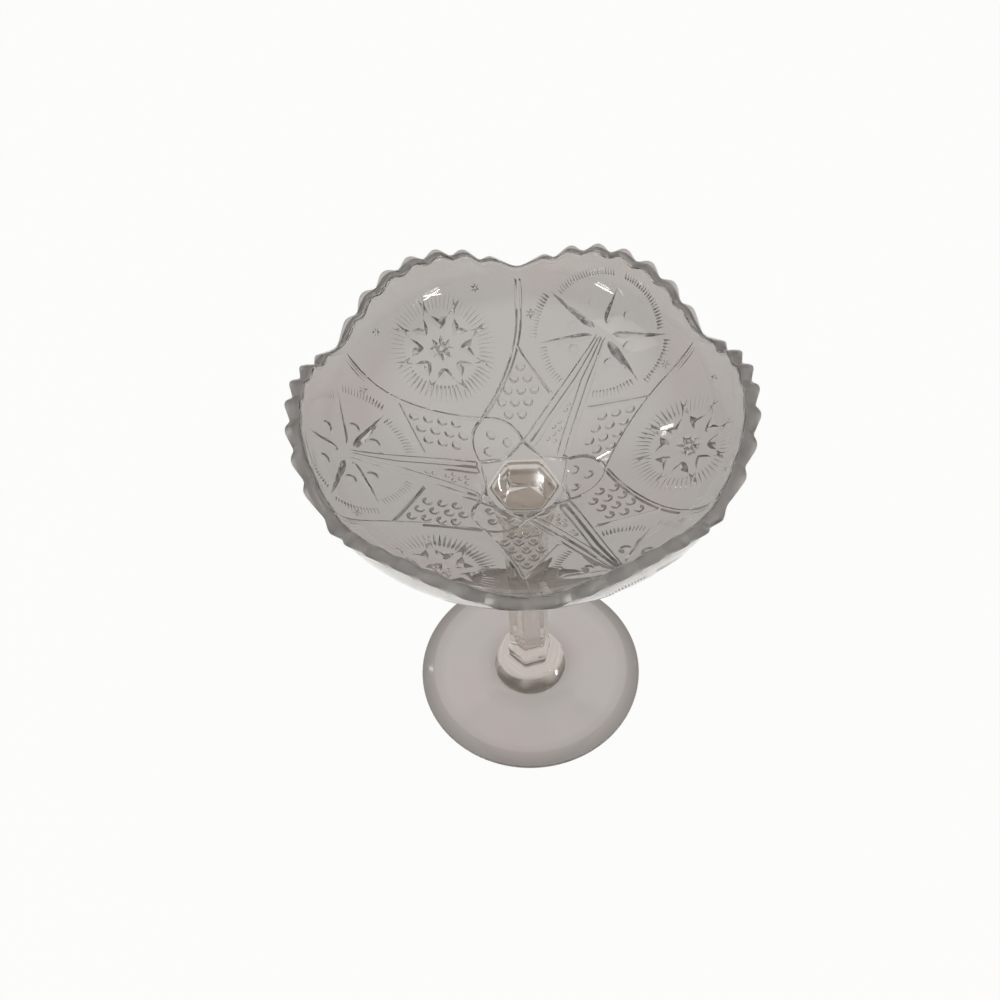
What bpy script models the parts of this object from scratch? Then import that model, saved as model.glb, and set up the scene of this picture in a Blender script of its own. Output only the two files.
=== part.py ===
"""A pressed-glass candy dish: a scalloped bowl on a six-sided stem and a round foot.

The dish stands on Z = 0 with its axis on Z. Lengths are in metres and angles in degrees.
"""

import math

import bmesh
import bpy
from mathutils import Vector
from mathutils.geometry import delaunay_2d_cdt

# Gap that stands for each fused joint between two pieces of the stack
JOINT_GAP = 0.0003
# How far a collar's wide end stays inside the seat that it is fused to
SEAT_MARGIN = 0.0010

# Foot: a plate with a bevelled edge, a low dome and a shallow hollow underneath
FOOT_RADIUS = 0.0545
FOOT_EDGE_HEIGHT = 0.0028
FOOT_EDGE_ROUND = 0.0010
FOOT_BEVEL_WIDTH = 0.0058
FOOT_BEVEL_DROP = 0.0022
FOOT_SEAT_RADIUS = 0.0185
FOOT_DOME_SPREAD = 0.0090
FOOT_DOME_RISE = 0.0026
FOOT_RING_WIDTH = 0.0115
FOOT_HOLLOW_DEPTH = 0.0016

# Lower collar: a lip under the stem, a flare and a round-shouldered bell on the foot
LOWER_LIP_HEIGHT = 0.0065
LOWER_FLARE_HEIGHT = 0.0080
LOWER_SHOULDER_RADIUS = 0.0132
LOWER_BELL_HEIGHT = 0.0110

# Stem: a shaft with flat sides that widens a little towards the bowl
STEM_LENGTH = 0.0936
STEM_FOOT_RADIUS = 0.0092
STEM_TOP_RADIUS = 0.0099
STEM_END_CHAMFER = 0.0007
STEM_SIDES = 6
STEM_TURN = 15.5

# Upper collar: a lip above the stem and a flare under the bowl, in line with the lobes
UPPER_LIP_HEIGHT = 0.0060
UPPER_FLARE_HEIGHT = 0.0170
COLLAR_LIP = 0.0009

# Bowl: a dish whose wall turns up at the edge
BOWL_RADIUS = 0.0898
BOWL_HEIGHT = 0.0598
BOWL_SEAT_RADIUS = 0.0168
BOWL_FLOOR_REACH = 0.0242
BOWL_FLOOR_RISE = 0.0190
BOWL_SIDE_BULGE = 0.0010
BOWL_SIDE_TURN = 0.0175
BOWL_WALL = 0.0046
BOWL_FLOOR_THICKNESS = 0.0062

# Rim: lobes between notches, each lobe cut into rounded teeth, under a rounded lip
RIM_LOBES = 6
RIM_LOBE_RISE = 0.0146
RIM_NOTCH_DIP = 0.0004
RIM_NOTCH_GAP = 13.2
RIM_NOTCH_SOFTNESS = 0.08
RIM_LIP_ROUND = 0.0019
TEETH_PER_LOBE = 7
TOOTH_HEIGHT = 0.0038
TOOTH_SOFTNESS = 0.35

# Pattern in the outside of the bowl, drawn on a wall that runs this far from the axis to the top of a lobe.
# Angles count from the middle of a petal: petals lie on every other lobe, with star panels between them.
PATTERN_RUN = 0.1180
CUT_STEEPNESS = 0.85
LINE_WIDTH = 0.0016

# Petal: a mitre line from its tip to the notch
PETAL_TIP = 0.0373
PETAL_LOW_ALONG = 0.0426
PETAL_LOW_ACROSS = 0.0112
PETAL_HIGH_ALONG = 0.0528
PETAL_HIGH_ACROSS = 0.0305
PETAL_SHOULDER = 0.0820
PETAL_NOTCH_END = 0.0965
BORDER_WIDTH = 0.0026
BORDER_MOUTH = 0.0040

# Hobstar in the petal: a low boss in a ring of chords
HOBSTAR_REACH = 0.0735
HOBSTAR_RADIUS = 0.0200
HOBSTAR_NOTCH = 0.0108
HOBSTAR_POINTS = 8
CHORD_WIDTH = 0.0030
CHORD_OVERRUN = 0.0045
HOB_RADIUS = 0.0060
HOB_RISE = 0.0009

# Star in the panel: rays given by direction, share of the longest and share of the width, and hollows between
STAR_REACH = 0.0782
STAR_EYE = 0.0046
STAR_RAY_LENGTH = 0.0325
STAR_RAY_WIDTH = 0.0050
STAR_RAYS = ((0.0, 0.71, 1.15), (76.0, 1.0, 0.9), (121.0, 0.94, 1.0))
STAR_HOLLOWS = (40.0, 98.0, 141.0)
HOLLOW_REACH = 0.0148
HOLLOW_RADIUS = 0.0028
HOLLOW_DEPTH = 0.0009

# Tail of the star: two vanes that part round an island on the way to the middle of the bowl
TAIL_TOP = 0.0030
TAIL_START = 0.0023
TAIL_SPREAD = 0.17
TAIL_LENGTH = 0.0560
ISLAND_START = 0.0227
ISLAND_SPREAD = 0.155
VANE_DEPTH = 0.0012

# Hobnails in the field between petal, panel and tail, and at the petal's tip
PANEL_HIGH_REACH = 0.0670
PANEL_HIGH_ANGLE = 28.6
PANEL_LOW_REACH = 0.0465
PANEL_LOW_ANGLE = 46.6
FIELD_START = 0.0245
BUTTON_WIDTH = 0.0046
BUTTON_RISE = 0.0012
BUTTON_PITCH = 0.0062
BUTTON_ROW_PITCH = 0.0054
TIP_BUTTONS = ((0.79, 0.0), (0.638, 12.5))

# Lines round the seat
CENTRE_CORNER = 0.0236
CENTRE_START = 0.0172
CENTRE_ARC_BULGE = 0.0040

# Fineness of the facets
FOOT_SEGMENTS = 96
COLUMNS_PER_TOOTH = 4
LIP_STEPS = 4
INSIDE_ROWS = 8
SIDE_STEPS = 16
PATTERN_SPACING = 0.0075
PATTERN_CLEARANCE = 0.0020
PATTERN_MERGE = 0.00004
BORDER_STEPS = 12
ARC_STEPS = 6
BUTTON_SIDES = 6
WALL_STEPS = 240
CURVE_ROWS = 5
SHARP_ANGLE = 40.0
SLOPE_STEP = 0.001
HALVINGS = 40
MERGE = 0.00001
WELD = 0.000003

# Glass, as the eye sees it against a pale table
GLASS_COLOUR = (0.72, 0.70, 0.68, 1.0)
GLASS_ROUGHNESS = 0.03
GLASS_IOR = 1.52

# Sizes that follow from the ones above
FOOT_PLATE_HEIGHT = FOOT_EDGE_HEIGHT + FOOT_BEVEL_DROP
FOOT_HEIGHT = FOOT_PLATE_HEIGHT + FOOT_DOME_RISE
LOWER_COLLAR_HEIGHT = LOWER_BELL_HEIGHT + LOWER_FLARE_HEIGHT + LOWER_LIP_HEIGHT
UPPER_COLLAR_HEIGHT = UPPER_LIP_HEIGHT + UPPER_FLARE_HEIGHT
HALF_LOBE = 180.0 / RIM_LOBES
TOOTH_PITCH = (2 * HALF_LOBE - RIM_NOTCH_GAP) / (TEETH_PER_LOBE - 1)
BUTTON_RADIUS = BUTTON_WIDTH / 2


def clear_scene():
    """Remove the objects that a new file starts with."""
    for thing in list(bpy.data.objects):
        bpy.data.objects.remove(thing)


def pressed_glass(name):
    """Clear soda-lime glass with a faint warm grey."""
    material = bpy.data.materials.new(name)
    material.use_nodes = True
    shader = material.node_tree.nodes["Principled BSDF"]
    shader.inputs["Base Color"].default_value = GLASS_COLOUR
    shader.inputs["Metallic"].default_value = 0.0
    shader.inputs["Roughness"].default_value = GLASS_ROUGHNESS
    shader.inputs["IOR"].default_value = GLASS_IOR
    shader.inputs["Transmission Weight"].default_value = 1.0
    return material


def bezier(start, handle_a, handle_b, end, share):
    """The point at a share of the way along a cubic curve."""
    rest = 1.0 - share
    weights = (rest**3, 3 * share * rest**2, 3 * share**2 * rest, share**3)
    corners = (start, handle_a, handle_b, end)
    return tuple(sum(w * c[axis] for w, c in zip(weights, corners)) for axis in (0, 1))


def turned(name, profile, steps, collection):
    """A solid turned about Z from a profile of (radius, height) points that runs down its outer side."""
    mesh = bpy.data.meshes.new(name)
    points = [(radius, 0.0, height) for radius, height in profile]
    mesh.from_pydata(points, [(i, i + 1) for i in range(len(points) - 1)], [])
    piece = bpy.data.objects.new(name, mesh)
    collection.objects.link(piece)
    screw = piece.modifiers.new("turn", "SCREW")
    screw.axis = "Z"
    screw.angle = math.tau
    screw.steps = steps
    screw.render_steps = steps
    screw.use_merge_vertices = True
    screw.merge_threshold = MERGE
    screw.use_smooth_shade = False
    return piece


def made_mesh(piece):
    """Replace a piece's modifiers by the mesh that they make."""
    bpy.context.view_layer.update()
    evaluated = piece.evaluated_get(bpy.context.evaluated_depsgraph_get())
    mesh = bpy.data.meshes.new_from_object(evaluated)
    piece.modifiers.clear()
    piece.data = mesh
    return piece


def shade_round(piece):
    """Smooth shading, except over edges that are really sharp."""
    piece.data.shade_smooth()
    piece.data.set_sharp_from_angle(angle=math.radians(SHARP_ANGLE))


def quarter(top, bottom, hollow):
    """Points down a quarter of an ellipse, without its top: hollow ones end flat, others end steep."""
    points = []
    for row in range(1, CURVE_ROWS + 1):
        turn = row / CURVE_ROWS * math.pi / 2
        out, down = 1 - math.cos(turn), math.sin(turn)
        if not hollow:
            out, down = down, out
        points.append((top[0] + out * (bottom[0] - top[0]), top[1] + down * (bottom[1] - top[1])))
    return points


def foot_profile():
    """From the seat over the dome, the plate and its bevel, round the edge and under into the hollow."""
    seat = (FOOT_SEAT_RADIUS, FOOT_HEIGHT)
    dome_end = (FOOT_SEAT_RADIUS + FOOT_DOME_SPREAD, FOOT_PLATE_HEIGHT)
    hollow_edge = FOOT_RADIUS - FOOT_EDGE_ROUND - FOOT_RING_WIDTH
    return [
        (0.0, FOOT_HEIGHT),
        seat,
        *quarter(seat, dome_end, hollow=True),
        (FOOT_RADIUS - FOOT_BEVEL_WIDTH, FOOT_PLATE_HEIGHT),
        (FOOT_RADIUS - FOOT_EDGE_ROUND, FOOT_EDGE_HEIGHT),
        (FOOT_RADIUS, FOOT_EDGE_HEIGHT - FOOT_EDGE_ROUND),
        (FOOT_RADIUS - FOOT_EDGE_ROUND, 0.0),
        (hollow_edge, 0.0),
        (hollow_edge - FOOT_HOLLOW_DEPTH, FOOT_HOLLOW_DEPTH),
        (0.0, FOOT_HOLLOW_DEPTH),
    ]


def lower_collar_profile():
    """Lip, flare and bell, standing on zero."""
    lip = STEM_FOOT_RADIUS + COLLAR_LIP
    flare_top = (lip, LOWER_COLLAR_HEIGHT - LOWER_LIP_HEIGHT)
    shoulder = (LOWER_SHOULDER_RADIUS, LOWER_BELL_HEIGHT)
    base = (FOOT_SEAT_RADIUS - SEAT_MARGIN, 0.0)
    return [
        (0.0, LOWER_COLLAR_HEIGHT),
        (lip, LOWER_COLLAR_HEIGHT),
        flare_top,
        *quarter(flare_top, shoulder, hollow=True),
        *quarter(shoulder, base, hollow=False),
        (0.0, 0.0),
    ]


def stem_profile():
    """The shaft, chamfered at both ends."""
    return [
        (0.0, STEM_LENGTH),
        (STEM_TOP_RADIUS - STEM_END_CHAMFER, STEM_LENGTH),
        (STEM_TOP_RADIUS, STEM_LENGTH - STEM_END_CHAMFER),
        (STEM_FOOT_RADIUS, STEM_END_CHAMFER),
        (STEM_FOOT_RADIUS - STEM_END_CHAMFER, 0.0),
        (0.0, 0.0),
    ]


def upper_collar_profile():
    """Flare and lip, standing on zero with the wide end up."""
    lip = STEM_TOP_RADIUS + COLLAR_LIP
    wide = (BOWL_SEAT_RADIUS - SEAT_MARGIN, UPPER_COLLAR_HEIGHT)
    flare = quarter((lip, UPPER_LIP_HEIGHT), wide, hollow=True)
    return [(0.0, UPPER_COLLAR_HEIGHT), *reversed(flare), (lip, UPPER_LIP_HEIGHT), (lip, 0.0), (0.0, 0.0)]


def wall_point(share):
    """A point on the outside of the bowl's wall, from its seat at 0 to the top of a lobe at 1."""
    return bezier(
        (BOWL_SEAT_RADIUS, 0.0),
        (BOWL_SEAT_RADIUS + BOWL_FLOOR_REACH, BOWL_FLOOR_RISE),
        (BOWL_RADIUS + BOWL_SIDE_BULGE, BOWL_SIDE_TURN),
        (BOWL_RADIUS, BOWL_HEIGHT),
        share,
    )


def wall_slant(share):
    """The outward direction of the wall there, as radius and height."""
    low = wall_point(max(0.0, share - SLOPE_STEP))
    high = wall_point(min(1.0, share + SLOPE_STEP))
    run, rise = high[0] - low[0], high[1] - low[1]
    length = math.hypot(run, rise)
    return rise / length, -run / length


def inner_wall_point(share):
    """The point of the bowl's inside that lies one wall behind a point of its outside."""
    radius, height = wall_point(share)
    out, up = wall_slant(share)
    return radius - BOWL_WALL * out, height - BOWL_WALL * up


def share_at(height, point_of):
    """The share of a wall curve at which it reaches a height, found by halving."""
    low, high = 0.0, 1.0
    for _ in range(HALVINGS):
        middle = (low + high) / 2
        if point_of(middle)[1] < height:
            low = middle
        else:
            high = middle
    return (low + high) / 2


def wall_runs():
    """Distance from the axis along the seat and the outside, at even steps of the wall's share."""
    points = [wall_point(step / WALL_STEPS) for step in range(WALL_STEPS + 1)]
    runs = [BOWL_SEAT_RADIUS]
    for low, high in zip(points, points[1:]):
        runs.append(runs[-1] + math.dist(low, high))
    return runs


RUNS = wall_runs()
PATTERN_SCALE = RUNS[-1] / PATTERN_RUN


def run_at(share):
    """Distance along the outside at a share of the wall."""
    step = min(WALL_STEPS - 1, int(share * WALL_STEPS))
    return RUNS[step] + (share * WALL_STEPS - step) * (RUNS[step + 1] - RUNS[step])


def share_of(run):
    """Share of the wall at a distance along the outside."""
    step = 0
    while step < WALL_STEPS - 1 and RUNS[step + 1] < run:
        step += 1
    return (step + (run - RUNS[step]) / (RUNS[step + 1] - RUNS[step])) / WALL_STEPS


def around_axis(radius, degrees, height):
    turn = math.radians(degrees)
    return Vector((radius * math.cos(turn), radius * math.sin(turn), height))


def outside_point(place, rise):
    """The point in space of a place of the drawing, raised along the wall's outward slant."""
    run = place.length * PATTERN_SCALE
    degrees = math.degrees(math.atan2(place.y, place.x))
    if run <= BOWL_SEAT_RADIUS:
        return around_axis(run, degrees, -rise)
    share = share_of(run)
    radius, height = wall_point(share)
    out, up = wall_slant(share)
    return around_axis(radius + rise * out, degrees, height + rise * up)


def tooth_angle(tooth):
    """Angle from a lobe's middle, in degrees, of a place counted in teeth from the lobe's first notch."""
    from_middle = tooth - TEETH_PER_LOBE / 2
    to_last_tooth = (TEETH_PER_LOBE - 1) / 2
    if abs(from_middle) <= to_last_tooth:
        return from_middle * TOOTH_PITCH
    towards_notch = (abs(from_middle) - to_last_tooth) / (TEETH_PER_LOBE / 2 - to_last_tooth)
    return math.copysign(HALF_LOBE - RIM_NOTCH_GAP / 2 * (1 - towards_notch), from_middle)


def softened(value, softness):
    """A value from 0 to 1 whose corner at 0 is rounded off."""
    return (math.hypot(value, softness) - softness) / (math.hypot(1.0, softness) - softness)


def rim_drop(degrees):
    """How far below the top of a lobe the rim lies, at an angle from that lobe's middle."""
    off = abs(degrees)
    last_tooth = HALF_LOBE - RIM_NOTCH_GAP / 2
    from_notch = softened(1 - off / HALF_LOBE, RIM_NOTCH_SOFTNESS)
    drop = RIM_LOBE_RISE * (1 - math.sin(from_notch * math.pi / 2))
    if off <= last_tooth:
        wave = softened(abs(math.cos(math.pi * off / TOOTH_PITCH)), TOOTH_SOFTNESS)
        return drop + TOOTH_HEIGHT * (1 - wave)
    towards_notch = (off - last_tooth) / (RIM_NOTCH_GAP / 2)
    return drop + RIM_NOTCH_DIP * (1 - math.cos(towards_notch * math.pi)) / 2


def polar(reach, degrees):
    """A place of the drawing."""
    return around_axis(reach, degrees, 0.0).xy


def along_curve(start, handle_a, handle_b, end, steps):
    """Places along a cubic curve."""
    return [Vector(bezier(start, handle_a, handle_b, end, step / steps)) for step in range(steps + 1)]


def blade(start, end, width):
    """A straight cut that swells from a point and tapers off again, as places, widths and greatest depth."""
    swells = ((0.0, 0.0), (0.07, 0.65), (0.22, 1.0), (0.6, 0.66), (1.0, 0.0))
    places = [start.lerp(end, share) for share, _ in swells]
    return places, [width * swell for _, swell in swells], BOWL_WALL


def mitre(places, width, end_width):
    """A cut along a line, of steadily changing width."""
    last = len(places) - 1
    widths = [width + (end_width - width) * i / last for i in range(last + 1)]
    return places, widths, BOWL_WALL


def from_star(direction, reach, side):
    """A place at a direction and distance from the star's middle, on one side of its axis or the other."""
    turn = math.radians(direction)
    out = polar(STAR_REACH + reach * math.cos(turn), 2 * HALF_LOBE)
    return out + polar(side * reach * math.sin(turn), 2 * HALF_LOBE - 90)


def petal_border():
    """From the petal's tip to its shoulder on the notch line."""
    return along_curve(
        polar(PETAL_TIP, 0.0),
        (PETAL_LOW_ALONG, PETAL_LOW_ACROSS),
        (PETAL_HIGH_ALONG, PETAL_HIGH_ACROSS),
        polar(PETAL_SHOULDER, HALF_LOBE),
        BORDER_STEPS,
    )


def centre_arc():
    """The line that bulges from the petal's tip to the corner of the next tail."""
    tip, corner = polar(PETAL_TIP, 0.0), polar(CENTRE_CORNER, HALF_LOBE)
    chord = corner - tip
    bulge = Vector((chord.y, -chord.x)).normalized() * CENTRE_ARC_BULGE * 4 / 3
    return along_curve(tip, tip + 0.3 * chord + bulge, tip + 0.7 * chord + bulge, corner, ARC_STEPS)


def petal_cuts():
    """Border and hobstar of a petal."""
    border = petal_border()
    cuts = [
        mitre(border, BORDER_WIDTH, BORDER_MOUTH),
        mitre([border[-1], polar(PETAL_NOTCH_END, HALF_LOBE)], BORDER_MOUTH, BORDER_MOUTH),
    ]
    middle = polar(HOBSTAR_REACH, 0.0)
    step = 360 / HOBSTAR_POINTS
    for point in range(HOBSTAR_POINTS):
        tip = middle + polar(HOBSTAR_RADIUS, point * step)
        for side in (0.5, -0.5):
            notch = middle + polar(HOBSTAR_NOTCH, (point + side) * step)
            over = (tip - notch).normalized() * CHORD_OVERRUN
            places = [notch, notch.lerp(tip, 0.25), notch.lerp(tip, 0.55)]
            cuts.append((places, [CHORD_WIDTH, 0.85 * CHORD_WIDTH, 0.0], BOWL_WALL))
            cuts.append(([tip - over, tip, tip + over], [0.0, 0.6 * CHORD_WIDTH, 0.0], BOWL_WALL))
    return cuts


def star_cuts():
    """Rays of a star, with the tail that runs to the middle of the bowl."""
    cuts = []
    for side in (1, -1):
        for direction, reach, width in STAR_RAYS:
            start, end = from_star(direction, STAR_EYE, side), from_star(direction, reach * STAR_RAY_LENGTH, side)
            cuts.append(blade(start, end, width * STAR_RAY_WIDTH))
        places, widths = [], []
        for distance in (TAIL_TOP, ISLAND_START, (ISLAND_START + TAIL_LENGTH) / 2, TAIL_LENGTH):
            outer = TAIL_START + TAIL_SPREAD * distance
            inner = max(0.0, ISLAND_SPREAD * (distance - ISLAND_START))
            place = polar(STAR_REACH - distance, 2 * HALF_LOBE)
            places.append(place + polar(side * (outer + inner) / 2, 2 * HALF_LOBE - 90))
            widths.append(outer - inner)
        cuts.append((places, widths, VANE_DEPTH))
    panel = [polar(PANEL_HIGH_REACH, PANEL_HIGH_ANGLE), polar(PANEL_LOW_REACH, PANEL_LOW_ANGLE)]
    cuts.append(mitre(panel, LINE_WIDTH, LINE_WIDTH))
    return cuts


def centre_cuts():
    """Arcs and straight lines round the seat."""
    corner = polar(CENTRE_CORNER, HALF_LOBE)
    one, two = polar(CENTRE_START, 0.0), polar(CENTRE_START, 2 * HALF_LOBE)
    lines = (centre_arc(), [one, corner], [corner, two])
    return [mitre(line, LINE_WIDTH, LINE_WIDTH) for line in lines]


def line_gap(place, start, end):
    """Distance of a place from a straight line, and the share of the way along it that is nearest."""
    along = end - start
    share = min(1.0, max(0.0, (place - start).dot(along) / along.dot(along)))
    return (place - start - share * along).length, share


def sides_of(polygon):
    return zip(polygon, polygon[1:] + polygon[:1])


def inside_polygon(place, polygon):
    inside = False
    for a, b in sides_of(polygon):
        if (a.y > place.y) != (b.y > place.y):
            if place.x < (b.x - a.x) * (place.y - a.y) / (b.y - a.y) + a.x:
                inside = not inside
    return inside


def field_buttons():
    """Middles of the hobnails, in rows across the notch line, as many as the field holds."""
    panel_high = polar(PANEL_HIGH_REACH, PANEL_HIGH_ANGLE)
    border = [place for place in reversed(petal_border()) if place.length < PANEL_HIGH_REACH]
    field = [panel_high, *border, *centre_arc()[1:], polar(PANEL_LOW_REACH, PANEL_LOW_ANGLE)]
    clearance = BUTTON_RADIUS + 0.4 * BORDER_WIDTH
    rows = int((PANEL_HIGH_REACH - FIELD_START) / BUTTON_ROW_PITCH) + 1
    columns = int(PANEL_HIGH_REACH / BUTTON_PITCH / 2)
    found = []
    for row in range(rows):
        for column in range(-columns, columns + 1):
            across = (column + 0.5 * (row % 2)) * BUTTON_PITCH
            place = polar(FIELD_START + row * BUTTON_ROW_PITCH, HALF_LOBE) + polar(across, HALF_LOBE + 90)
            if inside_polygon(place, field) and min(line_gap(place, a, b)[0] for a, b in sides_of(field)) > clearance:
                found.append(place)
    return found


def all_buttons():
    """Bosses, and hollows with a negative rise, as middles, radii and rises."""
    buttons = [(place, BUTTON_RADIUS, BUTTON_RISE) for place in field_buttons()]
    for share, degrees in TIP_BUTTONS:
        buttons.append((polar(share * PETAL_TIP, degrees), BUTTON_RADIUS, BUTTON_RISE))
    for direction in STAR_HOLLOWS:
        buttons.append((from_star(direction, HOLLOW_REACH, 1), HOLLOW_RADIUS, -HOLLOW_DEPTH))
    buttons.append((polar(HOBSTAR_REACH, 0.0), HOB_RADIUS, HOB_RISE))
    return buttons


def cut_lines(cut):
    """The lines along a cut's two edges and along its bottom or the two edges of its floor."""
    places, widths, deepest = cut
    lines = [[], [], [], []]
    for i, place in enumerate(places):
        along = (places[min(i + 1, len(places) - 1)] - places[max(0, i - 1)]).normalized()
        across = Vector((-along.y, along.x))
        half = widths[i] / 2
        floor = max(0.0, half - deepest / CUT_STEEPNESS)
        for line, offset in zip(lines, (half, -half, floor, -floor)):
            line.append(place + offset * across)
    return lines


def button_lines(button):
    """The outer edge of a button and the edge of its flat top."""
    middle, radius, _ = button
    turns = [360 * side / BUTTON_SIDES for side in range(BUTTON_SIDES + 1)]
    return [[middle + polar(share * radius, turn) for turn in turns] for share in (1.0, 0.5)]


def relief(place, cuts, buttons):
    """How far the outside stands out, or lies in, at a place."""
    rise, sunk = 0.0, 0.0
    for middle, radius, height in buttons:
        off = (place - middle).length / radius
        if off < 1:
            rise = height * (1 - off**2)
    for places, widths, deepest in cuts:
        for i in range(len(places) - 1):
            gap, share = line_gap(place, places[i], places[i + 1])
            half = (widths[i] + (widths[i + 1] - widths[i]) * share) / 2
            sunk = max(sunk, min(deepest, (half - gap) * CUT_STEEPNESS))
    return -sunk if sunk > 0 else rise


def within_wedge(start, end):
    """The stretch of a line between the middle of a petal and the middle of a star panel, if there is one."""
    low, high = 0.0, 1.0
    for inward in (Vector((0.0, 1.0)), polar(1.0, 2 * HALF_LOBE - 90)):
        a, b = start.dot(inward), end.dot(inward)
        if a < 0 and b < 0:
            return None
        if a < 0:
            low = max(low, a / (a - b))
        elif b < 0:
            high = min(high, a / (a - b))
    if high - low < MERGE or (end - start).length < MERGE:
        return None
    return start.lerp(end, low), start.lerp(end, high)


def drawn_lines(cuts, buttons):
    """Every edge that the pattern has in a wedge."""
    rows = [polar(BOWL_SEAT_RADIUS / PATTERN_SCALE, 2 * HALF_LOBE * step / ARC_STEPS) for step in range(ARC_STEPS + 1)]
    lines = [rows]
    for cut in cuts:
        lines += cut_lines(cut)
    for button in buttons:
        lines += button_lines(button)
    kept = []
    for line in lines:
        for start, end in zip(line, line[1:]):
            stretch = within_wedge(start, end)
            if stretch:
                kept.append(stretch)
    return kept


def wedge_border(rim):
    """The border of a wedge: along its first side to the rim, and back along its second side."""
    shares = [step / SIDE_STEPS for step in range(1, SIDE_STEPS)]
    first = [rim[0] * share for share in shares]
    second = [rim[-1] * share for share in reversed(shares)]
    return [Vector((0.0, 0.0)), *first, *rim, *second]


def loose_places(border, lines):
    """Places of a triangular grid that keep clear of the border and of the pattern's lines."""
    found = []
    reach = max(place.length for place in border)
    edges = [*sides_of(border), *lines]
    row = 1
    while row * PATTERN_SPACING * 0.866 < reach:
        column = 0.5 * (row % 2)
        while column * PATTERN_SPACING < reach:
            place = Vector((column * PATTERN_SPACING, row * PATTERN_SPACING * 0.866))
            if inside_polygon(place, border):
                if min(line_gap(place, a, b)[0] for a, b in edges) > PATTERN_CLEARANCE:
                    found.append(place)
            column += 1
        row += 1
    return found


def triangulated(border, lines, loose):
    """Places and triangles inside the border, with edges along the lines."""
    places, edges = [], []
    for start, end in [*sides_of(border), *lines]:
        edges.append((len(places), len(places) + 1))
        places += [start, end]
    made = delaunay_2d_cdt(places + loose, edges, [], 1, PATTERN_MERGE, False)
    places = list(made[0])
    # Places on the two sides lie on them exactly, so that the mirrored wedges close
    on_sides = []
    for side in (polar(1.0, 0.0), polar(1.0, 2 * HALF_LOBE)):
        across = Vector((-side.y, side.x))
        on_side = [i for i, place in enumerate(places) if abs(place.dot(across)) < PATTERN_MERGE]
        for i in on_side:
            places[i] = places[i].dot(side) * side
        on_sides.append(set(on_side))
    faces = []
    for face in made[2]:
        a, b, c = (places[i] for i in face)
        flat = any(on_side.issuperset(face) for on_side in on_sides)
        if not flat and inside_polygon((a + b + c) / 3, border):
            faces.append(face)
    return places, faces


def bowl_wedge():
    """Points and faces of the bowl between the middle of a petal and the middle of a star panel."""
    half_columns = TEETH_PER_LOBE * COLUMNS_PER_TOOTH // 2
    half = [tooth_angle(TEETH_PER_LOBE / 2 + step / COLUMNS_PER_TOOTH) for step in range(half_columns + 1)]
    angles = half + [2 * HALF_LOBE - degrees for degrees in reversed(half[:-1])]
    drops = [rim_drop(degrees) for degrees in half]
    drops += drops[-2::-1]
    shares = [share_at(BOWL_HEIGHT - RIM_LIP_ROUND - drop, wall_point) for drop in drops]

    # Outside with its pattern, up to the edge of the lip
    rim = [polar(run_at(share) / PATTERN_SCALE, degrees) for share, degrees in zip(shares, angles)]
    rim_level = min(place.length for place in rim) - PATTERN_CLEARANCE
    cuts, buttons = petal_cuts() + star_cuts() + centre_cuts(), all_buttons()
    border = wedge_border(rim)
    low_enough = [line for line in drawn_lines(cuts, buttons) if max(line[0].length, line[1].length) < rim_level]
    places, faces = triangulated(border, low_enough, loose_places(border, low_enough))
    points = [outside_point(place, relief(place, cuts, buttons)) for place in places]

    # Rounded lip, then the plain inside down to the floor, in rows
    floor_share = share_at(BOWL_FLOOR_THICKNESS, inner_wall_point)
    rows = [[] for _ in range(LIP_STEPS + INSIDE_ROWS + 1)]
    for place, share, degrees in zip(rim, shares, angles):
        outer = outside_point(place, relief(place, cuts, buttons))
        inner = around_axis(inner_wall_point(share)[0], degrees, inner_wall_point(share)[1])
        tangent = around_axis(1.0, degrees + 90, 0.0)
        up = tangent.cross(outer - inner).normalized()
        up = up if up.z > 0 else -up
        for step in range(LIP_STEPS + 1):
            turn = math.pi * step / LIP_STEPS
            arc = (outer - inner) / 2 * math.cos(turn) + up * RIM_LIP_ROUND * math.sin(turn)
            rows[step].append((outer + inner) / 2 + arc)
        for step in range(1, INSIDE_ROWS + 1):
            radius, height = inner_wall_point(share + (floor_share - share) * step / INSIDE_ROWS)
            rows[LIP_STEPS + step].append(around_axis(radius, degrees, height))
    columns = len(angles)
    first = len(points)
    for row in rows:
        points += row
    for row in range(len(rows) - 1):
        for column in range(columns - 1):
            corner = first + row * columns + column
            faces.append((corner, corner + 1, corner + columns + 1, corner + columns))
    floor_middle = len(points)
    points.append(Vector((0.0, 0.0, BOWL_FLOOR_THICKNESS)))
    last_row = floor_middle - columns
    for column in range(columns - 1):
        faces.append((last_row + column, last_row + column + 1, floor_middle))
    return points, faces


def make_bowl(collection):
    """The bowl, from a wedge that is mirrored and turned about the axis."""
    points, faces = bowl_wedge()
    mesh = bmesh.new()
    for petal in range(RIM_LOBES // 2):
        turn = math.tau * petal / (RIM_LOBES // 2)
        across, along = math.sin(turn), math.cos(turn)
        for side in (1, -1):
            verts = []
            for x, y, z in points:
                verts.append(mesh.verts.new((x * along - side * y * across, x * across + side * y * along, z)))
            for face in faces:
                mesh.faces.new([verts[i] for i in face])
    bmesh.ops.remove_doubles(mesh, verts=mesh.verts, dist=WELD)
    bmesh.ops.recalc_face_normals(mesh, faces=mesh.faces)
    piece = bpy.data.objects.new("bowl", bpy.data.meshes.new("bowl"))
    mesh.to_mesh(piece.data)
    mesh.free()
    collection.objects.link(piece)
    shade_round(piece)
    return piece


def make_foot(collection):
    """The turned plate with its dome."""
    piece = made_mesh(turned("foot", foot_profile(), FOOT_SEGMENTS, collection))
    shade_round(piece)
    return piece


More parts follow.
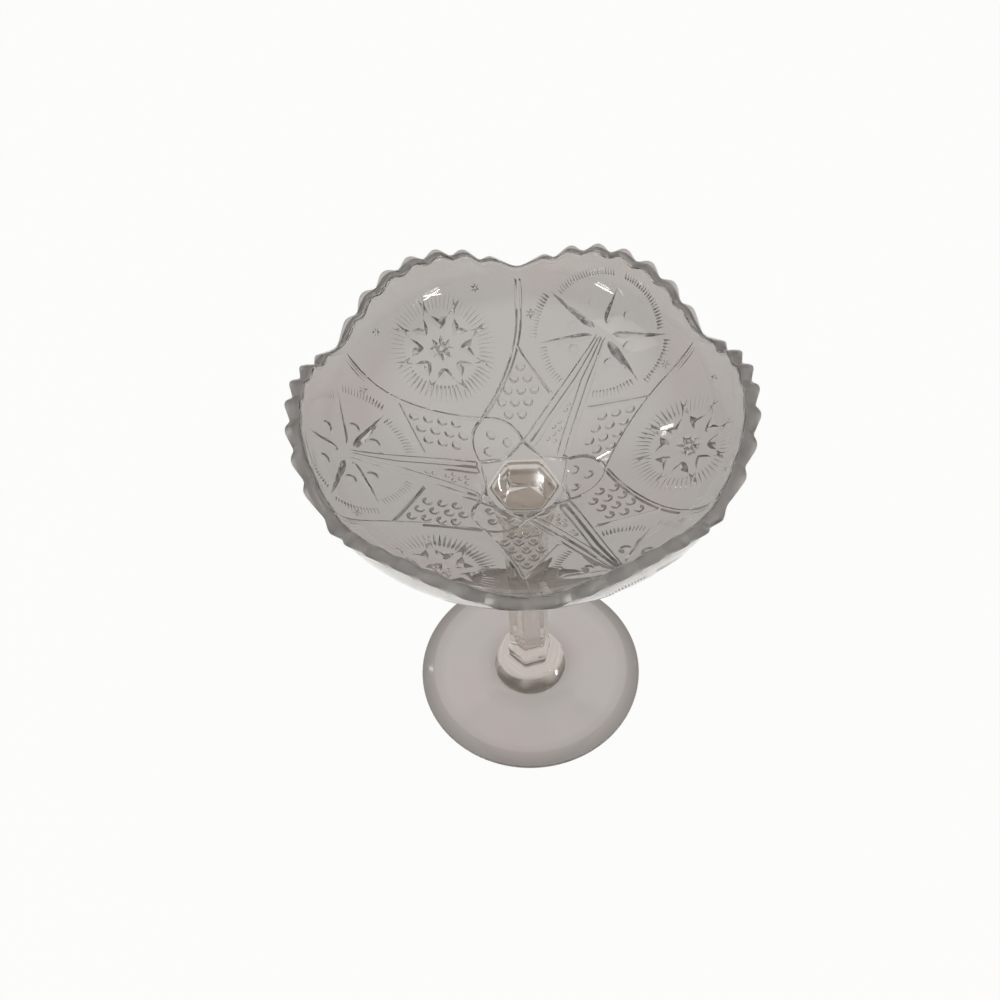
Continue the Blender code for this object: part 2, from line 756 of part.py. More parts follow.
def make_dish():
    """Stack the pieces from the table up."""
    collection = bpy.data.collections.new("candy_dish")
    bpy.context.scene.collection.children.link(collection)
    stand = bpy.data.objects.new("stand", None)
    collection.objects.link(stand)

    foot = make_foot(collection)
    lower_collar = turned("lower_collar", lower_collar_profile(), STEM_SIDES, collection)
    stem = turned("stem", stem_profile(), STEM_SIDES, collection)
    upper_collar = turned("upper_collar", upper_collar_profile(), STEM_SIDES, collection)
    bowl = make_bowl(collection)

    level = 0.0
    stack = (
        (foot, FOOT_HEIGHT, 0.0),
        (lower_collar, LOWER_COLLAR_HEIGHT, STEM_TURN),
        (stem, STEM_LENGTH, STEM_TURN),
        (upper_collar, UPPER_COLLAR_HEIGHT, 0.0),
        (bowl, BOWL_HEIGHT, 0.0),
    )
    for piece, height, turn in stack:
        piece.parent = stand
        piece.location.z = level
        piece.rotation_euler.z = math.radians(turn)
        piece.data.materials.append(pressed_glass(piece.name + "_glass"))
        level += height + JOINT_GAP


clear_scene()
make_dish()
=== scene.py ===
"""Looks of a pressed-glass candy dish: a cut-pattern bowl on a six-sided stem and a round foot."""

import math
from typing import NamedTuple

import bmesh
import bpy
import numpy as np
from bpy.props import FloatProperty, FloatVectorProperty, IntProperty, PointerProperty
from mathutils import Matrix, Vector
from mathutils.geometry import delaunay_2d_cdt


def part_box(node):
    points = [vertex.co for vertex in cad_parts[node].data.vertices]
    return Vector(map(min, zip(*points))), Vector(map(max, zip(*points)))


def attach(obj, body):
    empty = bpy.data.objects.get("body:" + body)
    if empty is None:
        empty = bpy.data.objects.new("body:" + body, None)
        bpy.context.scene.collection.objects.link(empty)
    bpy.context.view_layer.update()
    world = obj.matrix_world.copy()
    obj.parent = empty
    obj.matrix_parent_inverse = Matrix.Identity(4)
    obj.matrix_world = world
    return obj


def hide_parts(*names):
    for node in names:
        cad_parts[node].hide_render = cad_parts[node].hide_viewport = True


bl_info = {
    "name": "Candy Dish",
    "version": (1, 0, 0),
    "blender": (4, 5, 0),
    "location": "View3D > Sidebar > Dish",
    "description": "Builds a pressed-glass candy dish around its packed frame",
    "category": "Add Mesh",
}

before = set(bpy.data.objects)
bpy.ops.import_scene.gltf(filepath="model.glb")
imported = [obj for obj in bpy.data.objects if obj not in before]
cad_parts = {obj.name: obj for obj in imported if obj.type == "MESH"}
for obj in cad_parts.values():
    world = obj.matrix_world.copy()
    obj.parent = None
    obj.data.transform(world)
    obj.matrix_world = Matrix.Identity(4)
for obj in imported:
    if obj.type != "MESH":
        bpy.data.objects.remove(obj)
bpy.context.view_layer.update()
BODY = "root"

# Ends of the CAD pieces, from the table up
FOOT_LOW, FOOT_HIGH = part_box("foot")
FOOT_COLLAR_LOW, FOOT_COLLAR_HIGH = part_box("lower_collar")
STEM_LOW, STEM_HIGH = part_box("stem")
BOWL_COLLAR_LOW, BOWL_COLLAR_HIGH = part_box("upper_collar")
BOWL_LOW, BOWL_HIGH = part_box("bowl")

# The unrolled bowl is drawn in millimetres
MM = 0.001
# Half of the sliver that is left between two fused pieces
JOINT_SLIVER = 0.00001
# Slot of the fused joints in every piece's mesh, after the glass
JOINT = 1
# Attributes of the points: their share of the painted shade that deepens the grey at a lip or edge, and how
# far they are worn soft
PAINTED_SHADE, WEAR = "lip", "wear"
# Both of them on the rows over the lip, from its outside to its inside; the first is painted shade
LIP_PAINTED_SHADE = (0.5, 0.9, 1.0, 0.6, 0.25, 0.1, 0.0, 0.0, 0.0)
LIP_WEAR = (1.0, 1.0, 1.0, 1.0, 1.0, 1.0, 0.5, 0.0, 0.0)


def hex_colour(code):
    """Linear red, green and blue of an sRGB hex value."""
    shares = [int(code[i : i + 2], 16) / 255 for i in (1, 3, 5)]
    return tuple(s / 12.92 if s <= 0.04045 else ((s + 0.055) / 1.055) ** 2.4 for s in shares)


def number(description, default, **kind):
    """A property that holds a number."""
    return FloatProperty(description=description, default=default, **kind)


def length(description, default):
    """A property that holds a length in metres."""
    return number(description, default, unit="LENGTH", precision=5)


def angle(description, degrees):
    """A property that holds an angle."""
    return number(description, math.radians(degrees), subtype="ANGLE")


def colour(description, code):
    """A property that holds a colour."""
    shades = hex_colour(code)
    return FloatVectorProperty(description=description, default=shades, subtype="COLOR", min=0.0, max=1.0)


def named(group):
    """Name every property of a group after its key."""
    for key, prop in group.__annotations__.items():
        prop.keywords["name"] = key.replace("_", " ").capitalize()
    return group


@named
class DishGlass(bpy.types.PropertyGroup):
    """Finish of the glass."""

    bowl_tint: colour("Warm grey that one wall of the bowl lets through", "#B8B3AF")
    # Painted shade: darker grey on the rim where the eye looks down into the wall, and on the outside just
    # under it
    rim_painted_shade: colour("Deeper grey of the rim, seen down into the wall", "#D0CAC4")
    stem_tint: colour("Warm grey of the stem and its collars", "#EAE6E2")
    foot_tint: colour("Warm grey of the foot", "#B9B2AF")
    # Painted shade: a darker band on the foot's bevelled edge
    edge_painted_shade: colour("Deeper grey of the foot's edge, seen along the plate", "#8F8985")
    # Partly painted shade of the dim view down the stem through the joints, partly the glass's own colour
    # over that long way
    joint_tint_and_shade: colour("Browner grey of the way down through the fused joints", "#F4F1ED")
    mauve: colour("Sun-turned mauve that the tint drifts to", "#B9B1AE")
    green: colour("Greenish grey that the tint drifts to", "#B7B3AE")
    drift_size: length("Distance over which the tint drifts", 0.040)
    wave_size: length("Distance between the ripples that the mould leaves", 0.009)
    wave_depth: length("Depth of those ripples", 0.00002)
    ior: number("Refraction of soda-lime glass", 1.52)
    roughness: number("Fire-polished surface", 0.012)
    foot_roughness: number("Duller skin of the foot", 0.09)
    lip_roughness: number("Worn skin of the lip", 0.32)
    polish: number("Fire polish over the bowl's skin", 1.0)
    polish_roughness: number("Skin of the fire polish", 0.04)


@named
class DishBowl(bpy.types.PropertyGroup):
    """Wall and rim of the bowl."""

    seat_radius: length("Flat under the bowl", 0.0168)
    floor_reach: length("How far the floor runs out before it turns", 0.0242)
    floor_rise: length("How much the floor rises over that reach", 0.0190)
    side_bulge: length("How far the side leans out under the rim", 0.0010)
    side_turn: length("Height at which the side turns up", 0.0175)
    wall: length("Thickness of the wall", 0.0046)
    floor_thickness: length("Thickness over the stem", 0.0062)
    floor_blend: length("Softness of the inside's turn from floor to wall", 0.0014)
    lip_round: length("Height of the rounded lip", 0.0019)
    lip_bead: length("How far the teeth swell outwards", 0.0024)
    wear_reach: length("How far down the outside the lip's worn skin runs out", 0.0030)
    # Painted shade: how far down the outside the rim's darker grey fades out
    rim_shade_reach: length("How far down the outside the lip's deeper grey runs out", 0.0200)
    lobe_rise: length("Height of a lobe over its notches", 0.0146)
    notch_dip: length("Extra dip in the notch", 0.0004)
    notch_gap: angle("Plain stretch between the last teeth of two lobes", 13.2)
    teeth: IntProperty(description="Teeth on each lobe", default=7)
    tooth_height: length("Depth of the valley between two teeth", 0.0022)
    tooth_lean: length("How far the valley lies inwards of the teeth, which lean out", 0.0006)
    lean_depth: length("How far below the rim the teeth start to lean out", 0.0100)
    tooth_softness: number("Roundness of the valleys", 0.35)
    notch_softness: number("Roundness of the notches", 0.08)


@named
class DishPattern(bpy.types.PropertyGroup):
    """Pattern that is pressed into the outside of the bowl."""

    steepness: number("Slope of the sides of a cut", 0.9)
    border_width: length("Mitre line round a petal, near its tip", 0.0023)
    border_mouth: length("The same line where it meets the notch", 0.0031)
    border_depth: length("Most that this line sinks", 0.0009)
    line_width: length("Straight mitre lines", 0.0016)
    ray_width: length("Blades of the star", 0.0042)
    chord_width: length("Cuts between the points of the hobstar", 0.0038)
    tick_width: length("Fine cuts of the star's fringes", 0.0010)
    vane_depth: length("Most that the vanes in the star's tail sink", 0.0007)
    fringe_width: length("Widest cuts of the hobstar's fringe", 0.0014)
    button_width: length("Width of a hobnail", 0.0046)
    button_rise: length("Height of a hobnail", 0.0012)
    button_pitch: length("Distance of the hobnails in a row", 0.0062)
    row_pitch: length("Distance of the rows of hobnails", 0.0054)


@named
class DishStem(bpy.types.PropertyGroup):
    """Six-sided stem and its collars."""

    turn: angle("Turn of the stem against the bowl", 15.5)
    foot_radius: length("Stem at its lower end, to a corner", 0.0098)
    top_radius: length("Stem at its upper end, to a corner", 0.0103)
    end_chamfer: length("Softened ends of the stem", 0.0007)
    collar_lip: length("How far the collars stand proud of the stem", 0.0011)
    lower_lip: length("Height of the lip above the foot's bell", 0.0048)
    lower_flare: length("Height of the flare under that lip", 0.0042)
    shoulder_radius: length("Top of the bell, to a corner", 0.0138)
    shoulder_roundness: number("How round the bell's top is", 0.1)
    bell_radius: length("Round base of the bell", 0.0176)
    bell_height: length("Height of the bell", 0.0116)
    upper_lip: length("Height of the lip under the bowl's flare", 0.0060)
    flare_radius: length("Flare under the bowl, to a corner", 0.0158)


@named
class DishFoot(bpy.types.PropertyGroup):
    """Round foot."""

    edge_height: length("Height of the rim of the foot", 0.0028)
    edge_round: length("Rounding of that rim", 0.0010)
    bevel_width: length("Width of the bevel inside the rim", 0.0058)
    bevel_drop: length("Height of that bevel", 0.0022)
    dome_spread: length("Width of the low dome round the bell", 0.0105)
    # Painted shade: share of the edge's darker grey put in a ring round the bell's base
    dome_painted_shade: number("Share of the edge's grey in the thick dome", 0.5)
    ring_width: length("Ring that the foot stands on", 0.0115)
    hollow_depth: length("Hollow inside that ring", 0.0016)


@named
class DishStage(bpy.types.PropertyGroup):
    """Floor, light and camera."""

    card_colour: colour("Matt white card under the dish", "#FEFEFD")
    card_radius: length("How far the white card reaches", 0.75)
    studio_colour: colour("Grey of the studio's floor and walls", "#787674")
    floor_radius: length("Size of the floor", 6.0)
    floor_gap: length("Sliver of air under the foot", 0.00005)
    evenness: number("How even the card's white looks", 0.97)
    sky_strength: number("Strength of the light from the room", 1.0)


def fresh_start():
    """Leave edit mode and deselect everything, the frame's nodes too."""
    if bpy.context.object and bpy.context.object.mode != "OBJECT":
        bpy.ops.object.mode_set(mode="OBJECT")
    bpy.ops.object.select_all(action="DESELECT")


def add_node(tree, kind, links=(), **settings):
    """A shader node: settings set its own values or inputs of that name, and links feed inputs."""
    node = tree.nodes.new("ShaderNode" + kind)
    for name, value in settings.items():
        if hasattr(node, name):
            setattr(node, name, value)
        else:
            node.inputs[name.replace("_", " ")].default_value = value
    for name, source in links:
        tree.links.new(source, node.inputs[name])
    return node


def rgba(values):
    return (*values, 1.0)


def new_material(name):
    material = bpy.data.materials.new(name)
    material.use_nodes = True
    material.node_tree.nodes.clear()
    return material, material.node_tree


# Values of the drift at which the glass is full mauve and full green, and detail of drift and ripples
DRIFT_ENDS = (0.32, 0.68)
DRIFT_DETAIL, WAVE_DETAIL = 1.5, 1.0
# Wear between which the skin turns from polished to worn
WEAR_LOW, WEAR_HIGH = 0.25, 0.6
# Colour inputs and colour output of a mix
MIX_A, MIX_B, MIX_OUT = 6, 7, 2


def soft_noise(tree, place, size, detail):
    """Random values that change slowly over a distance."""
    node = add_node(tree, "TexNoise", [("Vector", place)], Scale=1 / size, Detail=detail)
    return node.outputs["Fac"]


def smooth_step(tree, value, *limits):
    """A value that runs softly from one level to another, by default from 0 to 1, between two limits."""
    node = add_node(tree, "MapRange", [("Value", value)], interpolation_type="SMOOTHSTEP")
    for name, limit in zip(("From Min", "From Max", "To Min", "To Max"), limits):
        node.inputs[name].default_value = limit
    return node.outputs["Result"]


def pressed_soda_lime(name, tint, look, roughness, painted_shade_tint=None, polish=0.0):
    """Clear soda-lime glass pressed in an iron mould: faintly warm grey, with a slow drift of old-glass mauve
    and green, with painted shade deepening the grey at lips and edges, and with soft ripples where the
    mould's skin chilled it."""
    material, tree = new_material(name)
    place = add_node(tree, "TexCoord").outputs["Object"]
    drift = soft_noise(tree, place, look.drift_size, DRIFT_DETAIL)
    shades = add_node(tree, "ValToRGB", [("Fac", drift)])
    ramp = shades.color_ramp.elements
    for stop, position, hue in zip(ramp, DRIFT_ENDS, (look.mauve, look.green)):
        stop.position = position
        stop.color = rgba([h * t / b for h, t, b in zip(hue, tint, look.bowl_tint)])
    ramp.new(0.5).color = rgba(tint)
    tone = shades.outputs["Color"]
    # Painted shade: a darker grey is mixed in where the points carry it
    if painted_shade_tint:
        deep = add_node(tree, "Attribute", attribute_name=PAINTED_SHADE).outputs["Fac"]
        shaded_tone = add_node(tree, "Mix", [("Factor", deep), (MIX_A, tone)], data_type="RGBA")
        shaded_tone.inputs[MIX_B].default_value = rgba(painted_shade_tint)
        tone = shaded_tone.outputs[MIX_OUT]
    ripples = soft_noise(tree, place, look.wave_size, WAVE_DETAIL)
    bump = add_node(tree, "Bump", [("Height", ripples)], Strength=1.0, Distance=look.wave_depth)
    shader = add_node(
        tree,
        "BsdfPrincipled",
        [("Base Color", tone), ("Normal", bump.outputs["Normal"])],
        Roughness=roughness,
        IOR=look.ior,
        Transmission_Weight=1.0,
        Coat_Weight=polish,
        Coat_Roughness=look.polish_roughness,
    )
    if polish:
        # The polished glass has a worn lip
        wear = add_node(tree, "Attribute", attribute_name=WEAR).outputs["Fac"]
        worn = smooth_step(tree, wear, WEAR_LOW, WEAR_HIGH, roughness, look.lip_roughness)
        tree.links.new(worn, shader.inputs["Roughness"])
    add_node(tree, "OutputMaterial", [("Surface", shader.outputs["BSDF"])])
    return material


def fused_joint(look):
    """Glass that has run together with the next piece: nothing bends the light there, and the browner grey
    there is partly the glass's own colour over the long way through it, partly painted shade of the dim view
    down the stem."""
    material = bpy.data.materials.get("fused_glass_joint")
    if material:
        return material
    material, tree = new_material("fused_glass_joint")
    glass = {"Base_Color": rgba(look.joint_tint_and_shade), "Roughness": 0.0, "IOR": 1.0, "Transmission_Weight": 1.0}
    shader = add_node(tree, "BsdfPrincipled", **glass)
    add_node(tree, "OutputMaterial", [("Surface", shader.outputs["BSDF"])])
    return material


# Degrees between faces up to which an edge is shaded smooth
SMOOTH_ANGLE, BOWL_SMOOTH_ANGLE = 30, 26


def pick(*pieces):
    """Select these pieces alone, with the first of them active."""
    fresh_start()
    for piece in pieces:
        piece.select_set(True)
    bpy.context.view_layer.objects.active = pieces[0]


def finish_piece(piece, node, glass, smooth_angle=SMOOTH_ANGLE):
    """Shade a piece, give it its glass, and let it stand for its node."""
    pick(piece)
    bpy.ops.object.shade_smooth_by_angle(angle=math.radians(smooth_angle))
    piece.data.materials.append(glass)
    piece.data.materials.append(fused_joint(bpy.context.scene.dish_glass))
    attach(piece, BODY)
    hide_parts(node)


# Turned and six-sided pieces


class Ring(NamedTuple):
    """One ring of a lofted piece: its radius to a corner, its height, its turn, and how far its six sides are
    rounded into a circle."""

    radius: float
    height: float
    turn: float = 0.0
    roundness: float = 0.0


def round_ring(radius, height):
    return Ring(radius, height, roundness=1.0)


def ring_reach(ring, way):
    """Distance from the middle to a ring's outline in a direction."""
    flats = [math.cos(way - ring.turn - (side + 0.5) * math.tau / SIX) for side in range(SIX)]
    gauge = sum(max(0.0, flat) ** CORNER_CRISPNESS for flat in flats) ** (1 / CORNER_CRISPNESS)
    six_sided = math.cos(math.pi / SIX) / gauge
    return ring.radius * (ring.roundness + (1 - ring.roundness) * six_sided)


def lofted(name, sides, rings):
    """A solid that is raised ring by ring from a filled circle."""
    fresh_start()
    now = rings[0]
    bpy.ops.mesh.primitive_circle_add(
        vertices=sides, radius=now.radius, fill_type="NGON", location=(0, 0, now.height)
    )
    piece = bpy.context.object
    piece.name = piece.data.name = name
    bpy.ops.object.transform_apply(location=True, rotation=True, scale=True)
    bpy.ops.object.mode_set(mode="EDIT")
    bpy.ops.mesh.select_all(action="SELECT")
    for ring in rings:
        if ring is not now:
            rise = (0, 0, ring.height - now.height)
            bpy.ops.mesh.extrude_region_move(TRANSFORM_OT_translate={"value": rise})
        now = ring
        mesh = bmesh.from_edit_mesh(piece.data)
        for vert in mesh.verts:
            if vert.select:
                way = math.atan2(vert.co.y, vert.co.x)
                vert.co.xy = vert.co.xy.normalized() * ring_reach(ring, way)
        bmesh.update_edit_mesh(piece.data)
    return piece


def close_up(piece, joints):
    """Turn the faces outwards, and make what lies within a joint's ring fused glass."""
    bpy.ops.mesh.select_all(action="SELECT")
    bpy.ops.mesh.normals_make_consistent(inside=False)
    bpy.ops.object.mode_set(mode="OBJECT")
    for face in piece.data.polygons:
        way = math.atan2(face.center.y, face.center.x)
        for joint in joints:
            within = face.center.xy.length < ring_reach(joint, way)
            if within and abs(face.center.z - joint.height) < JOINT_SLIVER / 2:
                face.material_index = JOINT


def ring_between(start, end, out, up, share):
    """A ring at shares of the way outwards, upwards and from one roundness to the other."""
    radius = start.radius + out * (end.radius - start.radius)
    height = start.height + up * (end.height - start.height)
    return Ring(radius, height, start.turn, start.roundness + share * (end.roundness - start.roundness))


def quarter(start, end, hollow, steps):
    """Rings along a quarter ellipse, without its start, which hollow ones leave upright."""
    rings = []
    for share in np.linspace(0, 1, steps + 1)[1:]:
        long, short = math.sin(share * math.pi / 2), 1 - math.cos(share * math.pi / 2)
        out, up = (short, long) if hollow else (long, short)
        rings.append(ring_between(start, end, out, up, share))
    return rings


def eased(start, end, steps):
    """Rings along a soft slope that is level at both ends, without its start."""
    shares = np.linspace(0, 1, steps + 1)[1:]
    return [ring_between(start, end, share, share**2 * (3 - 2 * share), share) for share in shares]


def joint_level(lower, upper):
    """The height half way over the gap between two pieces."""
    return (lower.z + upper.z) / 2


FOOT_JOINT = joint_level(FOOT_HIGH, FOOT_COLLAR_LOW)
STEM_FOOT_JOINT = joint_level(FOOT_COLLAR_HIGH, STEM_LOW)
STEM_TOP_JOINT = joint_level(STEM_HIGH, BOWL_COLLAR_LOW)
BOWL_JOINT = joint_level(BOWL_COLLAR_HIGH, BOWL_LOW)
SIX = 6
SIDES, FOOT_SIDES = 120, 192
CURVE_STEPS, EDGE_STEPS = 8, 5
# The higher, the sharper the corners of six-sided glass
CORNER_CRISPNESS = 40


class DISH_OT_stem(bpy.types.Operator):
    """Build the stem with the collars that join it to the foot and the bowl"""

    bl_idname = "dish.stem"
    bl_label = "Stem and collars"

    def execute(self, context):
        stem, glass = context.scene.dish_stem, context.scene.dish_glass
        material = pressed_soda_lime("pressed_soda_lime_stem", glass.stem_tint, glass, glass.roughness)
        chamfer, turn = stem.end_chamfer, stem.turn

        low, high = STEM_FOOT_JOINT + JOINT_SLIVER, STEM_TOP_JOINT - JOINT_SLIVER
        top_end = Ring(stem.top_radius - chamfer, high, turn)
        shaft = [Ring(stem.foot_radius, low, turn), Ring(stem.top_radius, high - chamfer, turn), top_end]

        low, high = FOOT_JOINT + JOINT_SLIVER, STEM_FOOT_JOINT - JOINT_SLIVER
        lip = stem.foot_radius + stem.collar_lip
        base = Ring(stem.bell_radius, low, turn, 1.0)
        shoulder = Ring(stem.shoulder_radius, low + stem.bell_height, turn, stem.shoulder_roundness)
        neck = Ring(lip - chamfer, shoulder.height + stem.lower_flare, turn)
        lip_top = neck.height + stem.lower_lip
        lower = [
            base,
            *quarter(base, shoulder, True, CURVE_STEPS),
            *quarter(shoulder, neck, False, CURVE_STEPS),
            Ring(lip, neck.height + chamfer, turn),
            Ring(lip, lip_top - chamfer, turn),
            Ring(lip - chamfer, lip_top, turn),
            Ring(stem.foot_radius, lip_top, turn),
            Ring(stem.foot_radius, high, turn),
        ]

        low, high = STEM_TOP_JOINT + JOINT_SLIVER, BOWL_JOINT - JOINT_SLIVER
        lip = stem.top_radius + stem.collar_lip
        lip_top = Ring(lip, low + stem.upper_lip)
        upper = [
            Ring(top_end.radius, low, turn),
            Ring(lip - chamfer, low),
            Ring(lip, low + chamfer),
            lip_top,
            *quarter(lip_top, Ring(stem.flare_radius, high), True, CURVE_STEPS),
        ]

        for name, node, rings in (
            ("six_sided_stem", "stem", shaft),
            ("foot_collar", "lower_collar", lower),
            ("bowl_collar", "upper_collar", upper),
        ):
            piece = lofted(name, SIDES, rings)
            close_up(piece, [rings[0], rings[-1]])
            finish_piece(piece, node, material)
        return {"FINISHED"}


# Share of the edge's painted shade that is lost across the foot's bevel, and a margin to catch the bevel's
# inner ring
BEVEL_FADE, BEVEL_MARGIN = 0.4, 1.02


class DISH_OT_foot(bpy.types.Operator):
    """Build the round foot"""

    bl_idname = "dish.foot"
    bl_label = "Foot"

    def execute(self, context):
        foot, stem, glass = context.scene.dish_foot, context.scene.dish_stem, context.scene.dish_glass
        radius, edge = FOOT_HIGH.x, foot.edge_round
        low, high = FOOT_LOW.z, FOOT_JOINT - JOINT_SLIVER
        plate = low + foot.edge_height + foot.bevel_drop
        edge_low, edge_side = round_ring(radius - edge, low), round_ring(radius, low + edge)
        edge_high = round_ring(radius, low + foot.edge_height - edge)
        edge_top = round_ring(radius - edge, low + foot.edge_height)
        dome_end = round_ring(stem.bell_radius + foot.dome_spread, plate)
        seat = round_ring(stem.bell_radius, high)
        hollow = round_ring(stem.bell_radius, low + foot.hollow_depth)
        rings = [
            hollow,
            *eased(hollow, round_ring(radius - edge - foot.ring_width, low), 2 * CURVE_STEPS),
            edge_low,
            *quarter(edge_low, edge_side, False, EDGE_STEPS),
            edge_high,
            *quarter(edge_high, edge_top, True, EDGE_STEPS),
            round_ring(radius - foot.bevel_width, plate),
            round_ring(radius - foot.bevel_width - edge, plate),
            dome_end,
            *quarter(dome_end, seat, False, CURVE_STEPS),
        ]
        piece = lofted("round_foot", FOOT_SIDES, rings)
        close_up(piece, [seat])
        # Painted shade: the edge and the low dome round the bell get a deeper grey
        shade = piece.data.attributes.new(PAINTED_SHADE, "FLOAT", "POINT")
        for vert, value in zip(piece.data.vertices, shade.data):
            inwards = (radius - vert.co.xy.length) / foot.bevel_width
            up_dome = 1 - (vert.co.xy.length - stem.bell_radius) / foot.dome_spread
            if vert.co.z > low and inwards < BEVEL_MARGIN:
                value.value = max(0.0, 1 - BEVEL_FADE * inwards)
            elif vert.co.z > plate:
                value.value = foot.dome_painted_shade * max(0.0, up_dome)
        material = pressed_soda_lime(
            "pressed_soda_lime_foot", glass.foot_tint, glass, glass.foot_roughness, glass.edge_painted_shade
        )
        finish_piece(piece, "foot", material)
        return {"FINISHED"}


# The bowl's wall, unrolled: a place is a pair of millimetres, at its distance along the wall from the axis

# Steps of the wall's section, and of the way from the axis to its inside
WALL_STEPS, LEAD_STEPS = 600, 100
# Degrees from the middle of a lobe to its notch, and from the middle of a petal to that of a star panel
HALF_LOBE, WEDGE = 30.0, 60.0


class Wall(NamedTuple):
    """The wall's section from seat to rim: its outside with its outward slant, and its inside."""

    outer: np.ndarray
    normal: np.ndarray
    outer_run: np.ndarray
    inner: np.ndarray
    inner_run: np.ndarray


def row_lengths(rows):
    return np.linalg.norm(rows, axis=1)


def bearing(points):
    """Direction of points round the axis."""
    return np.arctan2(points[:, 1], points[:, 0])


def run_along(points, start):
    """Distance along a row of points, from a start value."""
    return start + np.concatenate([[0.0], np.cumsum(row_lengths(np.diff(points, axis=0)))])


def bowl_wall(bowl):
    """Work the wall out from the CAD bowl's box and the wall's handles."""
    seat, top = BOWL_JOINT + JOINT_SLIVER, BOWL_HIGH.z
    rim_radius = BOWL_HIGH.x
    corners = np.array(
        [
            (bowl.seat_radius, seat),
            (bowl.seat_radius + bowl.floor_reach, seat + bowl.floor_rise),
            (rim_radius + bowl.side_bulge, seat + bowl.side_turn),
            (rim_radius, top),
        ]
    )
    outer = curve_through(*corners, WALL_STEPS - 1)
    slope = np.gradient(outer, axis=0)
    slope /= row_lengths(slope)[:, None]
    normal = np.stack([slope[:, 1], -slope[:, 0]], axis=1)
    inner = outer - normal * bowl.wall
    # The inside's curve runs on to the axis and sinks softly into the flat floor
    lead = np.linspace(0, 1, LEAD_STEPS, endpoint=False)[:, None]
    fall = inner[0, 0] * slope[0, 1] / slope[0, 0]
    start = np.array([0.0, inner[0, 1] - fall])
    inner = np.concatenate([start + lead * (inner[0] - start), inner])
    floor = seat + bowl.floor_thickness
    above = (inner[:, 1] - floor) / bowl.floor_blend
    inner[:, 1] = floor + bowl.floor_blend * np.logaddexp(0, above)
    return Wall(outer, normal, run_along(outer, bowl.seat_radius), inner, run_along(inner, 0.0))


def in_space(places, radius, height):
    """Points at a radius and height, in the direction of places on the unrolled wall."""
    around = bearing(places)
    return np.stack([radius * np.cos(around), radius * np.sin(around), height], axis=1)


def outside_at(wall, places, rise):
    """Points in space of places on the unrolled outside, raised along the wall's outward slant."""
    run = row_lengths(places) * MM

    def at_run(values, seat):
        return np.where(run > wall.outer_run[0], np.interp(run, wall.outer_run, values), seat)

    radius = at_run(wall.outer[:, 0], run) + rise * MM * at_run(wall.normal[:, 0], 0.0)
    height = at_run(wall.outer[:, 1], wall.outer[0, 1]) + rise * MM * at_run(wall.normal[:, 1], -1.0)
    return in_space(places, radius, height)


def inside_at(wall, places):
    """Points in space of places on the unrolled inside."""
    run = row_lengths(places) * MM
    radius, height = (np.interp(run, wall.inner_run, side) for side in wall.inner.T)
    return in_space(places, radius, height)


def softened(value, softness):
    """A value from 0 to 1 whose corner at 0 is rounded off."""
    return (math.hypot(value, softness) - softness) / (math.hypot(1.0, softness) - softness)


def tooth_wave(bowl, degrees):
    """1 on a tooth and in the notch, and 0 in a valley, at an angle from a lobe's middle."""
    last_tooth = HALF_LOBE - math.degrees(bowl.notch_gap) / 2
    pitch = last_tooth / ((bowl.teeth - 1) / 2)
    if degrees > last_tooth:
        return 1.0
    return softened(abs(math.cos(math.pi * degrees / pitch)), bowl.tooth_softness)


def notch_share(bowl, degrees):
    """0 on the teeth, rising to 1 in the notch beside a lobe."""
    gap = math.degrees(bowl.notch_gap) / 2
    return max(0.0, (degrees - HALF_LOBE + gap) / gap)


def rim_drop(bowl, degrees):
    """How far the rim lies below the top of a lobe, at an angle from that lobe's middle."""
    from_notch = softened(1 - degrees / HALF_LOBE, bowl.notch_softness)
    drop = bowl.lobe_rise * (1 - math.sin(from_notch * math.pi / 2))
    dip = bowl.notch_dip * (1 - math.cos(notch_share(bowl, degrees) * math.pi)) / 2
    return drop + dip + bowl.tooth_height * (1 - tooth_wave(bowl, degrees))


def polar(reach, degrees):
    turn = math.radians(degrees)
    return np.array([reach * math.cos(turn), reach * math.sin(turn)])


def curve_through(start, handle_a, handle_b, end, steps):
    """Points along a cubic curve."""
    share = np.linspace(0, 1, steps + 1)[:, None]
    rest = 1 - share
    return rest**3 * start + 3 * share * rest**2 * handle_a + 3 * share**2 * rest * handle_b + share**3 * end


# Deeper than any cut, for those that have no floor
NO_FLOOR = 9.0


class Cut(NamedTuple):
    """A cut in the outside: the line of its bottom, its width along that line, and the most that it sinks."""

    line: np.ndarray
    width: np.ndarray
    deepest: float = NO_FLOOR


class Button(NamedTuple):
    """A round boss, or a round hollow where its rise is negative."""

    middle: np.ndarray
    radius: float
    rise: float


# Drawing of the pattern, in millimetres along the wall and in degrees from the middle of a petal.
# Petals lie on every other lobe, with star panels on the lobes between them.

PETAL_TIP = 37.3
PETAL_HANDLE_LOW = np.array([42.6, 11.2])
PETAL_HANDLE_HIGH = np.array([52.8, 30.5])
PETAL_SHOULDER = 82.0
NOTCH_END = 96.5
HOBSTAR_REACH = 73.5
HOBSTAR_RADIUS = 20.0
HOBSTAR_POINTS = 8
HOBSTAR_NOTCH = 10.8
CHORD_OVERRUN = 4.5
FRINGE_LOW, FRINGE_HIGH = 17.5, 26.0
FRINGE_TICKS = 64
# The fringe is cut deepest towards the middle of the bowl: mean, swing and least share of its width
FRINGE_MEAN, FRINGE_SWING, FRINGE_LEAST = 0.45, 0.55, 0.25
HOB_RADIUS, HOB_RISE = 6.0, 0.9
HOB_CUT_LOW, HOB_CUT_HIGH = 1.8, 6.4
# Distance along the wall, angle from the petal's middle and size of the small stars
SMALL_STARS = ((95.0, 17.0, 2.4), (81.0, 34.0, 2.6))
SMALL_EYE = 0.2
STAR_REACH = 78.2
STAR_EYE = 4.6
# Direction from the star's outward ray, length and width against the common ray
STAR_RAYS = ((0.0, 23.0, 1.15), (76.0, 32.5, 0.9), (121.0, 30.5, 1.0))
